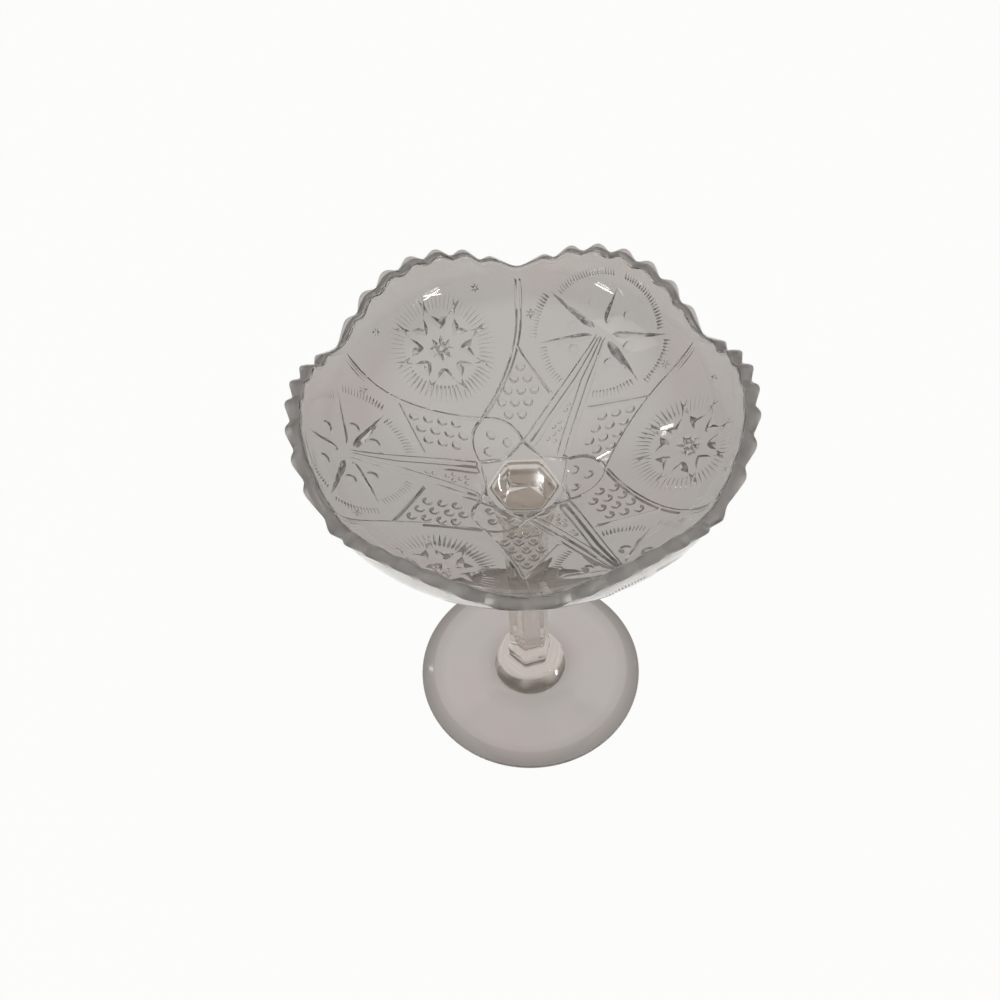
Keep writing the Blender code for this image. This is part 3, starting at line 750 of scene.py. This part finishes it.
# Start and end direction, distance from the star's middle and number of ticks
STAR_FRINGES = ((7.0, 70.0, 27.0, 22), (81.0, 116.0, 31.0, 14), (126.0, 162.0, 26.5, 12))
STAR_TICK = 4.2
STAR_HOLLOWS = (40.0, 98.0, 141.0)
HOLLOW_REACH, HOLLOW_RADIUS, HOLLOW_DEPTH = 14.8, 2.8, 0.9
TAIL_START, TAIL_SPREAD = 2.3, 0.17
TAIL_LENGTH = 56.0
ISLAND_START, ISLAND_SPREAD = 22.7, 0.155
# Distances at which the tail's two vanes bend, and their places across it
TAIL_STOPS = (3.0, 8.0, 15.0, ISLAND_START, 30.0, 38.0, 47.0, TAIL_LENGTH)
VANES = (0.25, 0.75)
# Size, distance and rows' distance of the small bosses in the tail, and their margins at its ends
ISLAND_BUTTON, ISLAND_PITCH, ISLAND_ROW = 1.15, 3.3, 0.87
ISLAND_FIRST, ISLAND_LAST = 12.0, 2.0
# First row, rows, columns to each side and margin, against the border's width, of the hobnails
FIELD_START, FIELD_ROWS, FIELD_COLUMNS, FIELD_MARGIN = 24.5, 12, 5, 0.4
PANEL_HIGH = polar(67.0, 28.6)
PANEL_LOW = polar(46.5, 46.6)
CORNER = polar(23.6, 30.0)
LINE_START = 17.2
ARC_BULGE, ARC_HANDLE = 4.0, 0.3
BORDER_STEPS, ARC_STEPS = 26, 10
TIP_BUTTONS = ((29.5, 0.0), (23.8, 12.5))
# Shares of the way and of the width: a blade, a chord from its notch, and a chord about its tip
BLADE = ((0.0, 0.0), (0.07, 0.65), (0.22, 1.0), (0.6, 0.66), (1.0, 0.0))
NOTCH_CHORD = ((0.0, 1.0), (0.25, 0.85), (0.55, 0.0))
TIP_CHORD = ((-1.0, 0.0), (0.0, 0.6), (1.0, 0.0))


def swelling(start, along, width, stops):
    """A straight cut that swells and tapers."""
    shares, swell = np.array(stops).T
    return Cut(start + shares[:, None] * along, width * swell)


def blades(middle, low, high, directions, width):
    """Straight cuts round a middle that swell from nothing and taper off again."""
    ends = [(middle + polar(low, way), middle + polar(high, way)) for way in directions]
    return [swelling(start, end - start, width, BLADE) for start, end in ends]


def mitre(points, width, deepest=NO_FLOOR):
    """A cut of steady width along a line, with square ends."""
    points = np.asarray(points)
    return Cut(points, np.full(len(points), width), deepest)


def in_tail(distance, offset, side=1):
    """A place at a distance from the star's middle towards the bowl's axis, and to one side of that line."""
    return polar(STAR_REACH - distance, WEDGE) + polar(side * offset, WEDGE - 90)


def from_star(direction, reach, side=1):
    """A place at a direction and distance from the star's middle, on one side of its axis or the other."""
    outwards, offset = polar(reach, direction)
    return in_tail(-outwards, offset, side)


def petal_border():
    tip, shoulder = np.array([PETAL_TIP, 0.0]), polar(PETAL_SHOULDER, HALF_LOBE)
    return curve_through(tip, PETAL_HANDLE_LOW, PETAL_HANDLE_HIGH, shoulder, BORDER_STEPS)


def centre_arc():
    """The line that bulges from a petal's tip to the corner of the next tail."""
    tip = np.array([PETAL_TIP, 0.0])
    chord = CORNER - tip
    outward = np.array([-chord[1], chord[0]]) / np.linalg.norm(chord)
    outward = outward if outward @ tip > 0 else -outward
    bulge = outward * ARC_BULGE * 4 / 3
    handles = [tip + chord * share + bulge for share in (ARC_HANDLE, 1 - ARC_HANDLE)]
    return curve_through(tip, *handles, CORNER, ARC_STEPS)


def petal_cuts(pattern):
    """Border, hobstar and fringe of a petal."""
    border, depth = petal_border(), pattern.border_depth / MM
    cuts = [
        Cut(border, np.linspace(pattern.border_width, pattern.border_mouth, len(border)) / MM, depth),
        mitre([border[-1], polar(NOTCH_END, HALF_LOBE)], pattern.border_mouth / MM, depth),
    ]
    middle = np.array([HOBSTAR_REACH, 0.0])
    step, chord = 360 / HOBSTAR_POINTS, pattern.chord_width / MM
    for point in range(HOBSTAR_POINTS):
        tip = middle + polar(HOBSTAR_RADIUS, point * step)
        for side in (0.5, -0.5):
            notch = middle + polar(HOBSTAR_NOTCH, (point + side) * step)
            along = tip - notch
            cuts.append(swelling(notch, along, chord, NOTCH_CHORD))
            cuts.append(swelling(tip, along * CHORD_OVERRUN / np.linalg.norm(along), chord, TIP_CHORD))
        cuts += blades(middle, HOB_CUT_LOW, HOB_CUT_HIGH, [(point + 0.5) * step], pattern.line_width / MM)
    for tick in range(FRINGE_TICKS):
        way = (tick + 0.5) * 360 / FRINGE_TICKS
        deep = max(FRINGE_LEAST, FRINGE_MEAN - FRINGE_SWING * math.cos(math.radians(way)))
        cuts += blades(middle, FRINGE_LOW, FRINGE_HIGH, [way], deep * pattern.fringe_width / MM)
    return cuts


def star_cuts(pattern):
    """Rays and fringes of a star, with the tail that runs to the middle of the bowl."""
    cuts, tick = [], pattern.tick_width / MM
    distances = np.array(TAIL_STOPS)
    outer = TAIL_START + TAIL_SPREAD * distances
    inner = np.maximum(0.0, ISLAND_SPREAD * (distances - ISLAND_START))
    for side in (1, -1):
        rays = [(way, STAR_EYE, reach, swell * pattern.ray_width / MM) for way, reach, swell in STAR_RAYS]
        for first, last, reach, count in STAR_FRINGES:
            rays += [(way, reach, reach + STAR_TICK, tick) for way in np.linspace(first, last, count)]
        for way, low, high, width in rays:
            if way or side > 0:
                start = from_star(way, low, side)
                cuts.append(swelling(start, from_star(way, high, side) - start, width, BLADE))
        for vane in VANES:
            offsets = inner + vane * (outer - inner)
            line = np.array([in_tail(d, offset, side) for d, offset in zip(distances, offsets)])
            cuts.append(Cut(line, (outer - inner) / 2, pattern.vane_depth / MM))
    cuts.append(mitre([PANEL_HIGH, PANEL_LOW], pattern.line_width / MM))
    for reach, degrees, size in SMALL_STARS:
        ways = [degrees + ray * 360 / SIX for ray in range(SIX)]
        cuts += blades(polar(reach, degrees), size * SMALL_EYE, size, ways, tick)
    return cuts


def centre_cuts(pattern):
    """Arcs and straight lines round the seat."""
    width = pattern.line_width / MM
    return [
        mitre(centre_arc(), width),
        mitre([polar(LINE_START, 0), CORNER], width),
        mitre([CORNER, polar(LINE_START, WEDGE)], width),
    ]


def sides_of(polygon):
    """Pairs of neighbouring corners."""
    return zip(polygon, np.roll(polygon, -1, axis=0))


def inside_polygon(places, polygon):
    """Which places lie inside a polygon."""
    x, y = places[:, 0], places[:, 1]
    inside = np.zeros(len(places), bool)
    for (ax, ay), (bx, by) in sides_of(polygon):
        if ay != by:
            inside ^= ((ay > y) != (by > y)) & (x < (bx - ax) * (y - ay) / (by - ay) + ax)
    return inside


def line_gap(places, start, end):
    """Distance of places from a straight line, and the share of the way along it that is nearest."""
    along = end - start
    share = np.clip((places - start) @ along / (along @ along), 0, 1)
    return row_lengths(places - start - share[:, None] * along), share


def field_buttons(pattern):
    """Hobnails in rows across the notch line, as many as fit between petal, panel and tail."""
    border = petal_border()
    high = [place for place in border[::-1] if np.linalg.norm(place) < np.linalg.norm(PANEL_HIGH)]
    polygon = np.array([PANEL_HIGH, *high, *centre_arc()[1:], PANEL_LOW])
    radius, rise = pattern.button_width / MM / 2, pattern.button_rise / MM
    clearance = radius + FIELD_MARGIN * pattern.border_width / MM
    buttons = []
    along, across = polar(1.0, HALF_LOBE), polar(1.0, HALF_LOBE + 90)
    for row in range(FIELD_ROWS):
        shift = 0.5 * (row % 2)
        for column in range(-FIELD_COLUMNS, FIELD_COLUMNS + 1):
            place = along * (FIELD_START + row * pattern.row_pitch / MM)
            place = place + across * ((column + shift) * pattern.button_pitch / MM)
            gap = min(line_gap(place[None], a, b)[0][0] for a, b in sides_of(polygon))
            if gap > clearance and inside_polygon(place[None], polygon)[0]:
                buttons.append(Button(place, radius, rise))
    return buttons


def small_buttons(pattern):
    """Bosses at a petal's tip, in the hobstar and in the tail, and hollows between the star's rays."""
    radius, rise = pattern.button_width / MM / 2, pattern.button_rise / MM
    buttons = [Button(np.array([HOBSTAR_REACH, 0.0]), HOB_RADIUS, HOB_RISE)]
    for reach, degrees in TIP_BUTTONS:
        buttons.append(Button(polar(reach, degrees), radius, rise))
    for direction in STAR_HOLLOWS:
        buttons.append(Button(from_star(direction, HOLLOW_REACH), HOLLOW_RADIUS, -HOLLOW_DEPTH))
    distance = ISLAND_START + ISLAND_FIRST
    while distance < TAIL_LENGTH - ISLAND_LAST:
        room = ISLAND_SPREAD * (distance - ISLAND_START) - ISLAND_BUTTON
        offset = 0.0 if round(distance / ISLAND_PITCH) % 2 else ISLAND_PITCH / 2
        while offset < room:
            buttons.append(Button(in_tail(distance, offset), ISLAND_BUTTON, rise / 2))
            offset += ISLAND_PITCH
        distance += ISLAND_PITCH * ISLAND_ROW
    return buttons


def cut_lines(cut, steepness):
    """Lines that a cut's edges follow: its rims and its bottom."""
    direction = np.gradient(cut.line, axis=0)
    direction /= row_lengths(direction)[:, None]
    across = np.stack([-direction[:, 1], direction[:, 0]], axis=1)
    half = cut.width / 2
    floor = np.maximum(0.0, half - cut.deepest / steepness)
    offsets = [half, -half, floor, -floor] if floor.max() > 0 else [half, -half, 0 * half]
    return [cut.line + across * offset[:, None] for offset in offsets]


# Corners of a button's rings and their shares of its radius, for wide and for narrow buttons
WIDE_BUTTON = 1.5
WIDE_RINGS, NARROW_RINGS = (16, (1.0, 0.7, 0.35)), (10, (1.0, 0.55))


def button_lines(button):
    """Rings that a button's dome follows."""
    corners, shares = WIDE_RINGS if button.radius > WIDE_BUTTON else NARROW_RINGS
    turns = np.linspace(0, 360, corners + 1)
    return [np.array([button.middle + polar(button.radius * s, t) for t in turns]) for s in shares]


def relief(places, cuts, buttons, steepness):
    """How far the outside stands out, or lies in, at places on it."""
    rise = np.zeros(len(places))
    for button in buttons:
        off = row_lengths(places - button.middle) / button.radius
        rise = np.where(off < 1, button.rise * (1 - off**2), rise)
    sunk = np.zeros(len(places))
    for cut in cuts:
        for i in range(len(cut.line) - 1):
            gap, share = line_gap(places, cut.line[i], cut.line[i + 1])
            half = (cut.width[i] + (cut.width[i + 1] - cut.width[i]) * share) / 2
            sunk = np.maximum(sunk, np.minimum(cut.deepest, (half - gap) * steepness))
    return np.where(sunk > 0, -sunk, rise)


# Least share of a line, gap that merges places, gap that counts as on a side, and least area of a triangle
LEAST_SHARE, MERGE_GAP, SIDE_GAP, LEAST_AREA = 1e-6, 0.002, 0.01, 0.00001
# Distance of loose places, and against it their rows' distance, first row and clearance from the border
GRID, GRID_ROW, GRID_START, GRID_CLEAR = 2.4, 0.866, 0.6, 0.4


def within_wedge(line):
    """The stretches of a line that lie between the middle of a petal and the middle of a star panel."""
    sides = (np.array([0.0, 1.0]), polar(1.0, WEDGE - 90))
    kept = []
    for start, end in zip(line[:-1], line[1:]):
        low, high = 0.0, 1.0
        for inward in sides:
            a, b = start @ inward, end @ inward
            if a < 0 and b < 0:
                low, high = 1.0, 0.0
            elif a < 0:
                low = max(low, a / (a - b))
            elif b < 0:
                high = min(high, a / (a - b))
        if high - low > LEAST_SHARE:
            kept.append((start + low * (end - start), start + high * (end - start)))
    return kept


def triangulated(border, lines, loose):
    """Places and triangles inside a closed border, with edges along the lines."""
    places, edges = [], []
    for start, end in [*sides_of(border), *lines]:
        edges.append((len(places), len(places) + 1))
        places += [start, end]
    places += list(loose)
    coordinates = [Vector((float(x), float(y))) for x, y in places]
    made = delaunay_2d_cdt(coordinates, edges, [], 1, MERGE_GAP, False)
    places = np.array([tuple(p) for p in made[0]])
    faces = np.array(made[2])
    kept = inside_polygon(places[faces].mean(axis=1), border)
    # Places on the two sides lie on them exactly, so that the mirrored halves close
    for along in (polar(1.0, 0), polar(1.0, WEDGE)):
        on_side = np.abs(places @ np.array([-along[1], along[0]])) < SIDE_GAP
        places[on_side] = (places[on_side] @ along)[:, None] * along
    corner, one, two = places[faces[:, 0]], places[faces[:, 1]], places[faces[:, 2]]
    one, two = one - corner, two - corner
    kept &= np.abs(one[:, 0] * two[:, 1] - one[:, 1] * two[:, 0]) > LEAST_AREA
    return places, faces[kept]


def scattered(border):
    """Places of a triangular grid that lie inside a border, clear of its edge."""
    low, high = border.min(axis=0), border.max(axis=0)
    found = []
    for row, y in enumerate(np.arange(low[1] + GRID * GRID_START, high[1], GRID * GRID_ROW)):
        for x in np.arange(low[0] + GRID * (0.5 + 0.5 * (row % 2)), high[0], GRID):
            found.append((x, y))
    found = np.array(found)
    clear = np.min([line_gap(found, start, end)[0] for start, end in sides_of(border)], axis=0)
    return found[(clear > GRID * GRID_CLEAR) & inside_polygon(found, border)]


def wedge_border(rim):
    """The border of a wedge: along its first side to the rim, and back along its second side."""
    shares = np.linspace(0, 1, SIDE_STEPS + 1)[:-1, None]
    return np.concatenate([shares * rim[0], rim, shares[:0:-1] * rim[-1]])


RIM_STEP = 0.95
# Share of a tooth's bead that is left in the valleys and notches
VALLEY_BEAD = 0.3
SIDE_STEPS = 56
INSIDE_ROWS = 56
# Petals of the bowl, and gaps that close between the halves of a petal and between petals
PETALS = 3
HALF_GAP, PETAL_GAP = 0.000002, 0.000006


class Rim(NamedTuple):
    """One wedge of the rim: angles, heights under the lip, teeth, notches and both unrolled edges."""

    angles: np.ndarray
    levels: np.ndarray
    waves: np.ndarray
    notches: np.ndarray
    outer: np.ndarray
    inner: np.ndarray


def bowl_rim(bowl, wall):
    """Work the rim out from the wall and the rim's handles."""
    angles = np.linspace(0, WEDGE, round(WEDGE / RIM_STEP) + 1)
    from_lobe = [a if a <= HALF_LOBE else WEDGE - a for a in angles]
    drops, waves, notches = (
        np.array([shape(bowl, a) for a in from_lobe]) for shape in (rim_drop, tooth_wave, notch_share)
    )
    levels = BOWL_HIGH.z - bowl.lip_round - drops
    edges = []
    for run in (wall.outer_run, wall.inner_run[-WALL_STEPS:]):
        reaches = np.interp(levels, wall.outer[:, 1], run) / MM
        edges.append(np.array([polar(r, a) for r, a in zip(reaches, angles)]))
    return Rim(angles, levels, waves, notches, *edges)


def leaned(points, bowl, rim):
    """Points near the rim, drawn inwards in the valleys so that the teeth lean out."""
    way = np.degrees(bearing(points))
    crests = rim.levels + bowl.lip_round + bowl.tooth_height * (1 - rim.waves)
    below = np.interp(way, rim.angles, crests) - points[:, 2]
    near = np.clip(1 - below / bowl.lean_depth, 0, 1) ** 2
    inwards = bowl.tooth_lean * (1 - np.interp(way, rim.angles, rim.waves)) * near
    closer = 1 - inwards / np.maximum(row_lengths(points[:, :2]), bowl.lean_depth)
    return points * np.stack([closer, closer, np.ones(len(points))], axis=1)


def lip_rows(outer_edge, inner_edge, bowl, rim):
    """Rows of points over the rounded lip, from outside to inside, on which each tooth swells like a bead."""
    middle, half = (outer_edge + inner_edge) / 2, (outer_edge - inner_edge) / 2
    turn = np.radians(rim.angles)
    up = np.cross(half, np.stack([-np.sin(turn), np.cos(turn), 0 * turn], axis=1))
    up *= (np.sign(up[:, 2]) / row_lengths(up))[:, None]
    beads = bowl.lip_bead * (VALLEY_BEAD + (1 - VALLEY_BEAD) * rim.waves * (1 - rim.notches))
    swell = (beads / row_lengths(half))[:, None] * half
    for t in np.linspace(0, math.pi, len(LIP_PAINTED_SHADE)):
        arch = middle + half * math.cos(t) + up * bowl.lip_round * math.sin(t)
        yield leaned(arch + swell * max(0.0, math.sin(2 * t)), bowl, rim)


def bowl_wedge(bowl, pattern, wall, collar_radius):
    """Half a petal and half a star panel, from the axis to the rim."""
    rim = bowl_rim(bowl, wall)
    border = wedge_border(rim.outer)
    cuts = petal_cuts(pattern) + star_cuts(pattern) + centre_cuts(pattern)
    buttons = field_buttons(pattern) + small_buttons(pattern)
    lines = [(polar(collar_radius / MM, 0), polar(collar_radius / MM, WEDGE))]
    edges = [line for cut in cuts for line in cut_lines(cut, pattern.steepness)]
    for line in edges + [line for button in buttons for line in button_lines(button)]:
        lines += within_wedge(line)
    outside, faces = triangulated(border, lines, scattered(border))

    def pressed(places):
        return outside_at(wall, places, relief(places, cuts, buttons, pattern.steepness))

    mesh = bmesh.new()
    shade, wear = mesh.verts.layers.float.new(PAINTED_SHADE), mesh.verts.layers.float.new(WEAR)
    verts = [mesh.verts.new(p) for p in leaned(pressed(outside), bowl, rim)]
    # Painted shade on the outside, darkest at the rim and fading out below it; wear likewise
    rim_run = np.interp(np.degrees(bearing(outside)), rim.angles, row_lengths(rim.outer))
    for vert, depth in zip(verts, (rim_run - row_lengths(outside)) * MM):
        vert[shade] = LIP_PAINTED_SHADE[0] * max(0.0, 1 - depth / bowl.rim_shade_reach)
        vert[wear] = LIP_WEAR[0] * max(0.0, 1 - depth / bowl.wear_reach)
    for face in faces:
        mesh.faces.new([verts[i] for i in face])
    # The smooth inside goes on from the lip in rows towards the axis
    points = [*lip_rows(pressed(rim.outer), inside_at(wall, rim.inner), bowl, rim)]
    for share in np.linspace(1, 0, INSIDE_ROWS)[1:-1]:
        points.append(leaned(inside_at(wall, rim.inner * share), bowl, rim))
    rows = [[mesh.verts.new(p) for p in row] for row in points]
    pole = mesh.verts.new(inside_at(wall, np.zeros((1, 2)))[0])
    # The lip rows carry their share of painted shade and of wear
    for row, painted_share, softness in zip(rows, LIP_PAINTED_SHADE, LIP_WEAR):
        for vert in row:
            vert[shade], vert[wear] = painted_share, softness
    for i in range(len(rim.angles) - 1):
        mesh.faces.new((rows[-1][i], rows[-1][i + 1], pole))
        for low, high in zip(rows[:-1], rows[1:]):
            mesh.faces.new((low[i], low[i + 1], high[i + 1], high[i]))
    return mesh


class DISH_OT_bowl(bpy.types.Operator):
    """Build the bowl, with its pattern pressed into the outside and its scalloped rim"""

    bl_idname = "dish.bowl"
    bl_label = "Bowl"

    def execute(self, context):
        scene = context.scene
        bowl, stem, glass = scene.dish_bowl, scene.dish_stem, scene.dish_glass
        wall = bowl_wall(bowl)
        piece = bpy.data.objects.new("patterned_bowl", bpy.data.meshes.new("patterned_bowl"))
        scene.collection.objects.link(piece)
        mesh = bowl_wedge(bowl, scene.dish_pattern, wall, stem.flare_radius)
        mesh.to_mesh(piece.data)
        mesh.free()
        pick(piece)
        mirror = piece.modifiers.new("other half", "MIRROR")
        mirror.use_axis = (False, True, False)
        mirror.merge_threshold = HALF_GAP
        bpy.ops.object.modifier_apply(modifier=mirror.name)
        parts = [piece]
        for petal in range(1, PETALS):
            pick(piece)
            bpy.ops.object.duplicate()
            context.object.data.transform(Matrix.Rotation(math.tau * petal / PETALS, 4, "Z"))
            parts.append(context.object)
        pick(*parts)
        bpy.ops.object.join()
        bpy.ops.object.mode_set(mode="EDIT")
        bpy.ops.mesh.select_all(action="SELECT")
        bpy.ops.mesh.remove_doubles(threshold=PETAL_GAP)
        close_up(piece, [Ring(stem.flare_radius, wall.outer[0, 1])])
        material = pressed_soda_lime(
            "pressed_soda_lime_bowl", glass.bowl_tint, glass, glass.roughness, glass.rim_painted_shade, glass.polish
        )
        finish_piece(piece, "bowl", material, BOWL_SMOOTH_ANGLE)
        return {"FINISHED"}


# Floor, light and camera

CAMERA_PLACE = Vector((0.0, -0.35523, 0.61753))
CAMERA_RIGHT = Vector((0.9993, -0.01577, -0.03397))
CAMERA_UP = Vector((0.03299, 0.79994, 0.59917))
CAMERA_LENS = 50.4
# Name, place, width, height, lean in degrees and brightness against white of the lamps
LAMPS = (
    ("softbox_left", (-1.00, -0.30, 1.30), 0.6, 0.6, 0, 0.45),
    ("tube_right", (1.20, -1.30, 0.47), 0.05, 0.36, 40, 16.0),
    ("tube_right_crossed", (1.20, -1.30, 0.43), 0.05, 0.36, -50, 16.0),
    ("tube_left", (-1.20, -1.30, 0.45), 0.06, 0.34, 60, 14.0),
    ("tube_back", (0.02, 0.93, 1.35), 0.006, 0.03, 0, 35.0),
    ("tube_back_left", (-0.70, 0.72, 1.07), 0.02, 0.09, 30, 16.0),
)
# Brightness of the ceiling against white, and the heights of gaze between which it takes over from the walls
CEILING = 0.7
CEILING_LOW, CEILING_HIGH = 0.62, 0.85
SENSOR = 36.0
LAMP_AIM = Vector((0.0, 0.0, 0.12))
FLOOR_SIDES = 96
# Where the card has faded into the floor, against its own radius
CARD_FADE = 1.4
# Light runs along inside thick glass for many turns before it leaves
BOUNCES = 24


def white_card(look):
    """Matt white card on a grey studio floor, so evenly lit that it shows white to the eye and through glass,
    and keeps a soft shadow."""
    material, tree = new_material("matt_white_card")
    place = add_node(tree, "TexCoord").outputs["Object"]
    reach = add_node(tree, "VectorMath", [("Vector", place)], operation="LENGTH").outputs["Value"]
    faded = smooth_step(tree, reach, look.card_radius, look.card_radius * CARD_FADE)
    mix = add_node(tree, "Mix", [("Factor", faded)], data_type="RGBA")
    mix.inputs[MIX_A].default_value = rgba(look.card_colour)
    mix.inputs[MIX_B].default_value = rgba(look.studio_colour)
    tone = mix.outputs[MIX_OUT]
    matt = add_node(tree, "BsdfDiffuse", [("Color", tone)]).outputs["BSDF"]
    glow = add_node(tree, "Emission", [("Color", tone)], Strength=1.0).outputs["Emission"]
    path = add_node(tree, "LightPath").outputs
    seen = path["Is Camera Ray"]
    for kind in ("Is Glossy Ray", "Is Transmission Ray"):
        seen = add_node(tree, "Math", [(0, seen), (1, path[kind])], operation="MAXIMUM").outputs["Value"]
    share = add_node(tree, "Math", [(0, seen)], operation="MULTIPLY")
    share.inputs[1].default_value = look.evenness
    mixed = add_node(tree, "MixShader", [("Fac", share.outputs["Value"]), (1, matt), (2, glow)])
    add_node(tree, "OutputMaterial", [("Surface", mixed.outputs["Shader"])])
    return material


class DISH_OT_stage(bpy.types.Operator):
    """Set up the floor, the light and the camera"""

    bl_idname = "dish.stage"
    bl_label = "Stage"

    def execute(self, context):
        scene, look = context.scene, context.scene.dish_stage
        fresh_start()
        bpy.ops.mesh.primitive_circle_add(vertices=FLOOR_SIDES, radius=look.floor_radius, fill_type="NGON")
        floor = context.object
        floor.name = "floor"
        floor.location.z = -look.floor_gap
        bpy.ops.object.transform_apply(location=True, rotation=True, scale=True)
        floor.data.materials.append(white_card(look))

        world = bpy.data.worlds.new("studio")
        world.use_nodes = True
        tree = world.node_tree
        tree.nodes.clear()
        way = add_node(tree, "TexCoord").outputs["Generated"]
        parts = add_node(tree, "SeparateXYZ", [("Vector", way)])
        ramp = add_node(tree, "ValToRGB", [("Fac", parts.outputs["Z"])])
        stops, walls, ceiling = ramp.color_ramp.elements, rgba(look.studio_colour), rgba([CEILING] * 3)
        stops[0].color, stops[1].color = walls, ceiling
        stops.new(CEILING_LOW).color = walls
        stops.new(CEILING_HIGH).color = ceiling
        light = ramp.outputs["Color"]
        sky = add_node(tree, "Background", [("Color", light)], Strength=look.sky_strength)
        add_node(tree, "OutputWorld", [("Surface", sky.outputs["Background"])])
        scene.world = world

        for name, place, width, height, lean, brightness in LAMPS:
            bpy.ops.object.light_add(type="AREA", location=place)
            lamp = context.object
            lamp.name = name
            lamp.data.shape = "RECTANGLE"
            lamp.data.size, lamp.data.size_y = width, height
            lamp.data.energy = brightness * math.pi * width * height
            aim = LAMP_AIM - lamp.location
            leaning = Matrix.Rotation(math.radians(lean), 3, "Z")
            lamp.rotation_euler = (aim.to_track_quat("-Z", "Y").to_matrix() @ leaning).to_euler()

        camera = bpy.data.objects.new("camera", bpy.data.cameras.new("camera"))
        scene.collection.objects.link(camera)
        camera.data.lens = CAMERA_LENS
        camera.data.sensor_width = SENSOR
        back = CAMERA_RIGHT.cross(CAMERA_UP)
        turn = Matrix((CAMERA_RIGHT, CAMERA_UP, back)).transposed()
        camera.matrix_world = Matrix.Translation(CAMERA_PLACE) @ turn.to_4x4()
        scene.camera = camera
        scene.view_settings.view_transform = "Standard"
        scene.cycles.max_bounces = scene.cycles.transmission_bounces = scene.cycles.glossy_bounces = BOUNCES
        return {"FINISHED"}


class DISH_PT_parts(bpy.types.Panel):
    """Buttons that build the dish"""

    bl_idname = "DISH_PT_parts"
    bl_label = "Candy dish"
    bl_space_type = "VIEW_3D"
    bl_region_type = "UI"
    bl_category = "Dish"

    def draw(self, context):
        for operator in OPERATORS:
            self.layout.operator(operator.bl_idname)
        for name in SETTINGS:
            group = getattr(context.scene, name)
            box = self.layout.box()
            for key in group.__annotations__:
                box.prop(group, key)


OPERATORS = (DISH_OT_foot, DISH_OT_stem, DISH_OT_bowl, DISH_OT_stage)
SETTINGS = {
    "dish_glass": DishGlass,
    "dish_bowl": DishBowl,
    "dish_pattern": DishPattern,
    "dish_stem": DishStem,
    "dish_foot": DishFoot,
    "dish_stage": DishStage,
}
CLASSES = (*SETTINGS.values(), *OPERATORS, DISH_PT_parts)


def register():
    for cls in CLASSES:
        bpy.utils.register_class(cls)
    for name, group in SETTINGS.items():
        setattr(bpy.types.Scene, name, PointerProperty(type=group))


def unregister():
    for name in SETTINGS:
        delattr(bpy.types.Scene, name)
    for cls in reversed(CLASSES):
        bpy.utils.unregister_class(cls)


def main():
    """Build the dish and its stage."""
    register()
    bpy.ops.dish.foot()
    bpy.ops.dish.stem()
    bpy.ops.dish.bowl()
    bpy.ops.dish.stage()


if __name__ == "__main__":
    main()
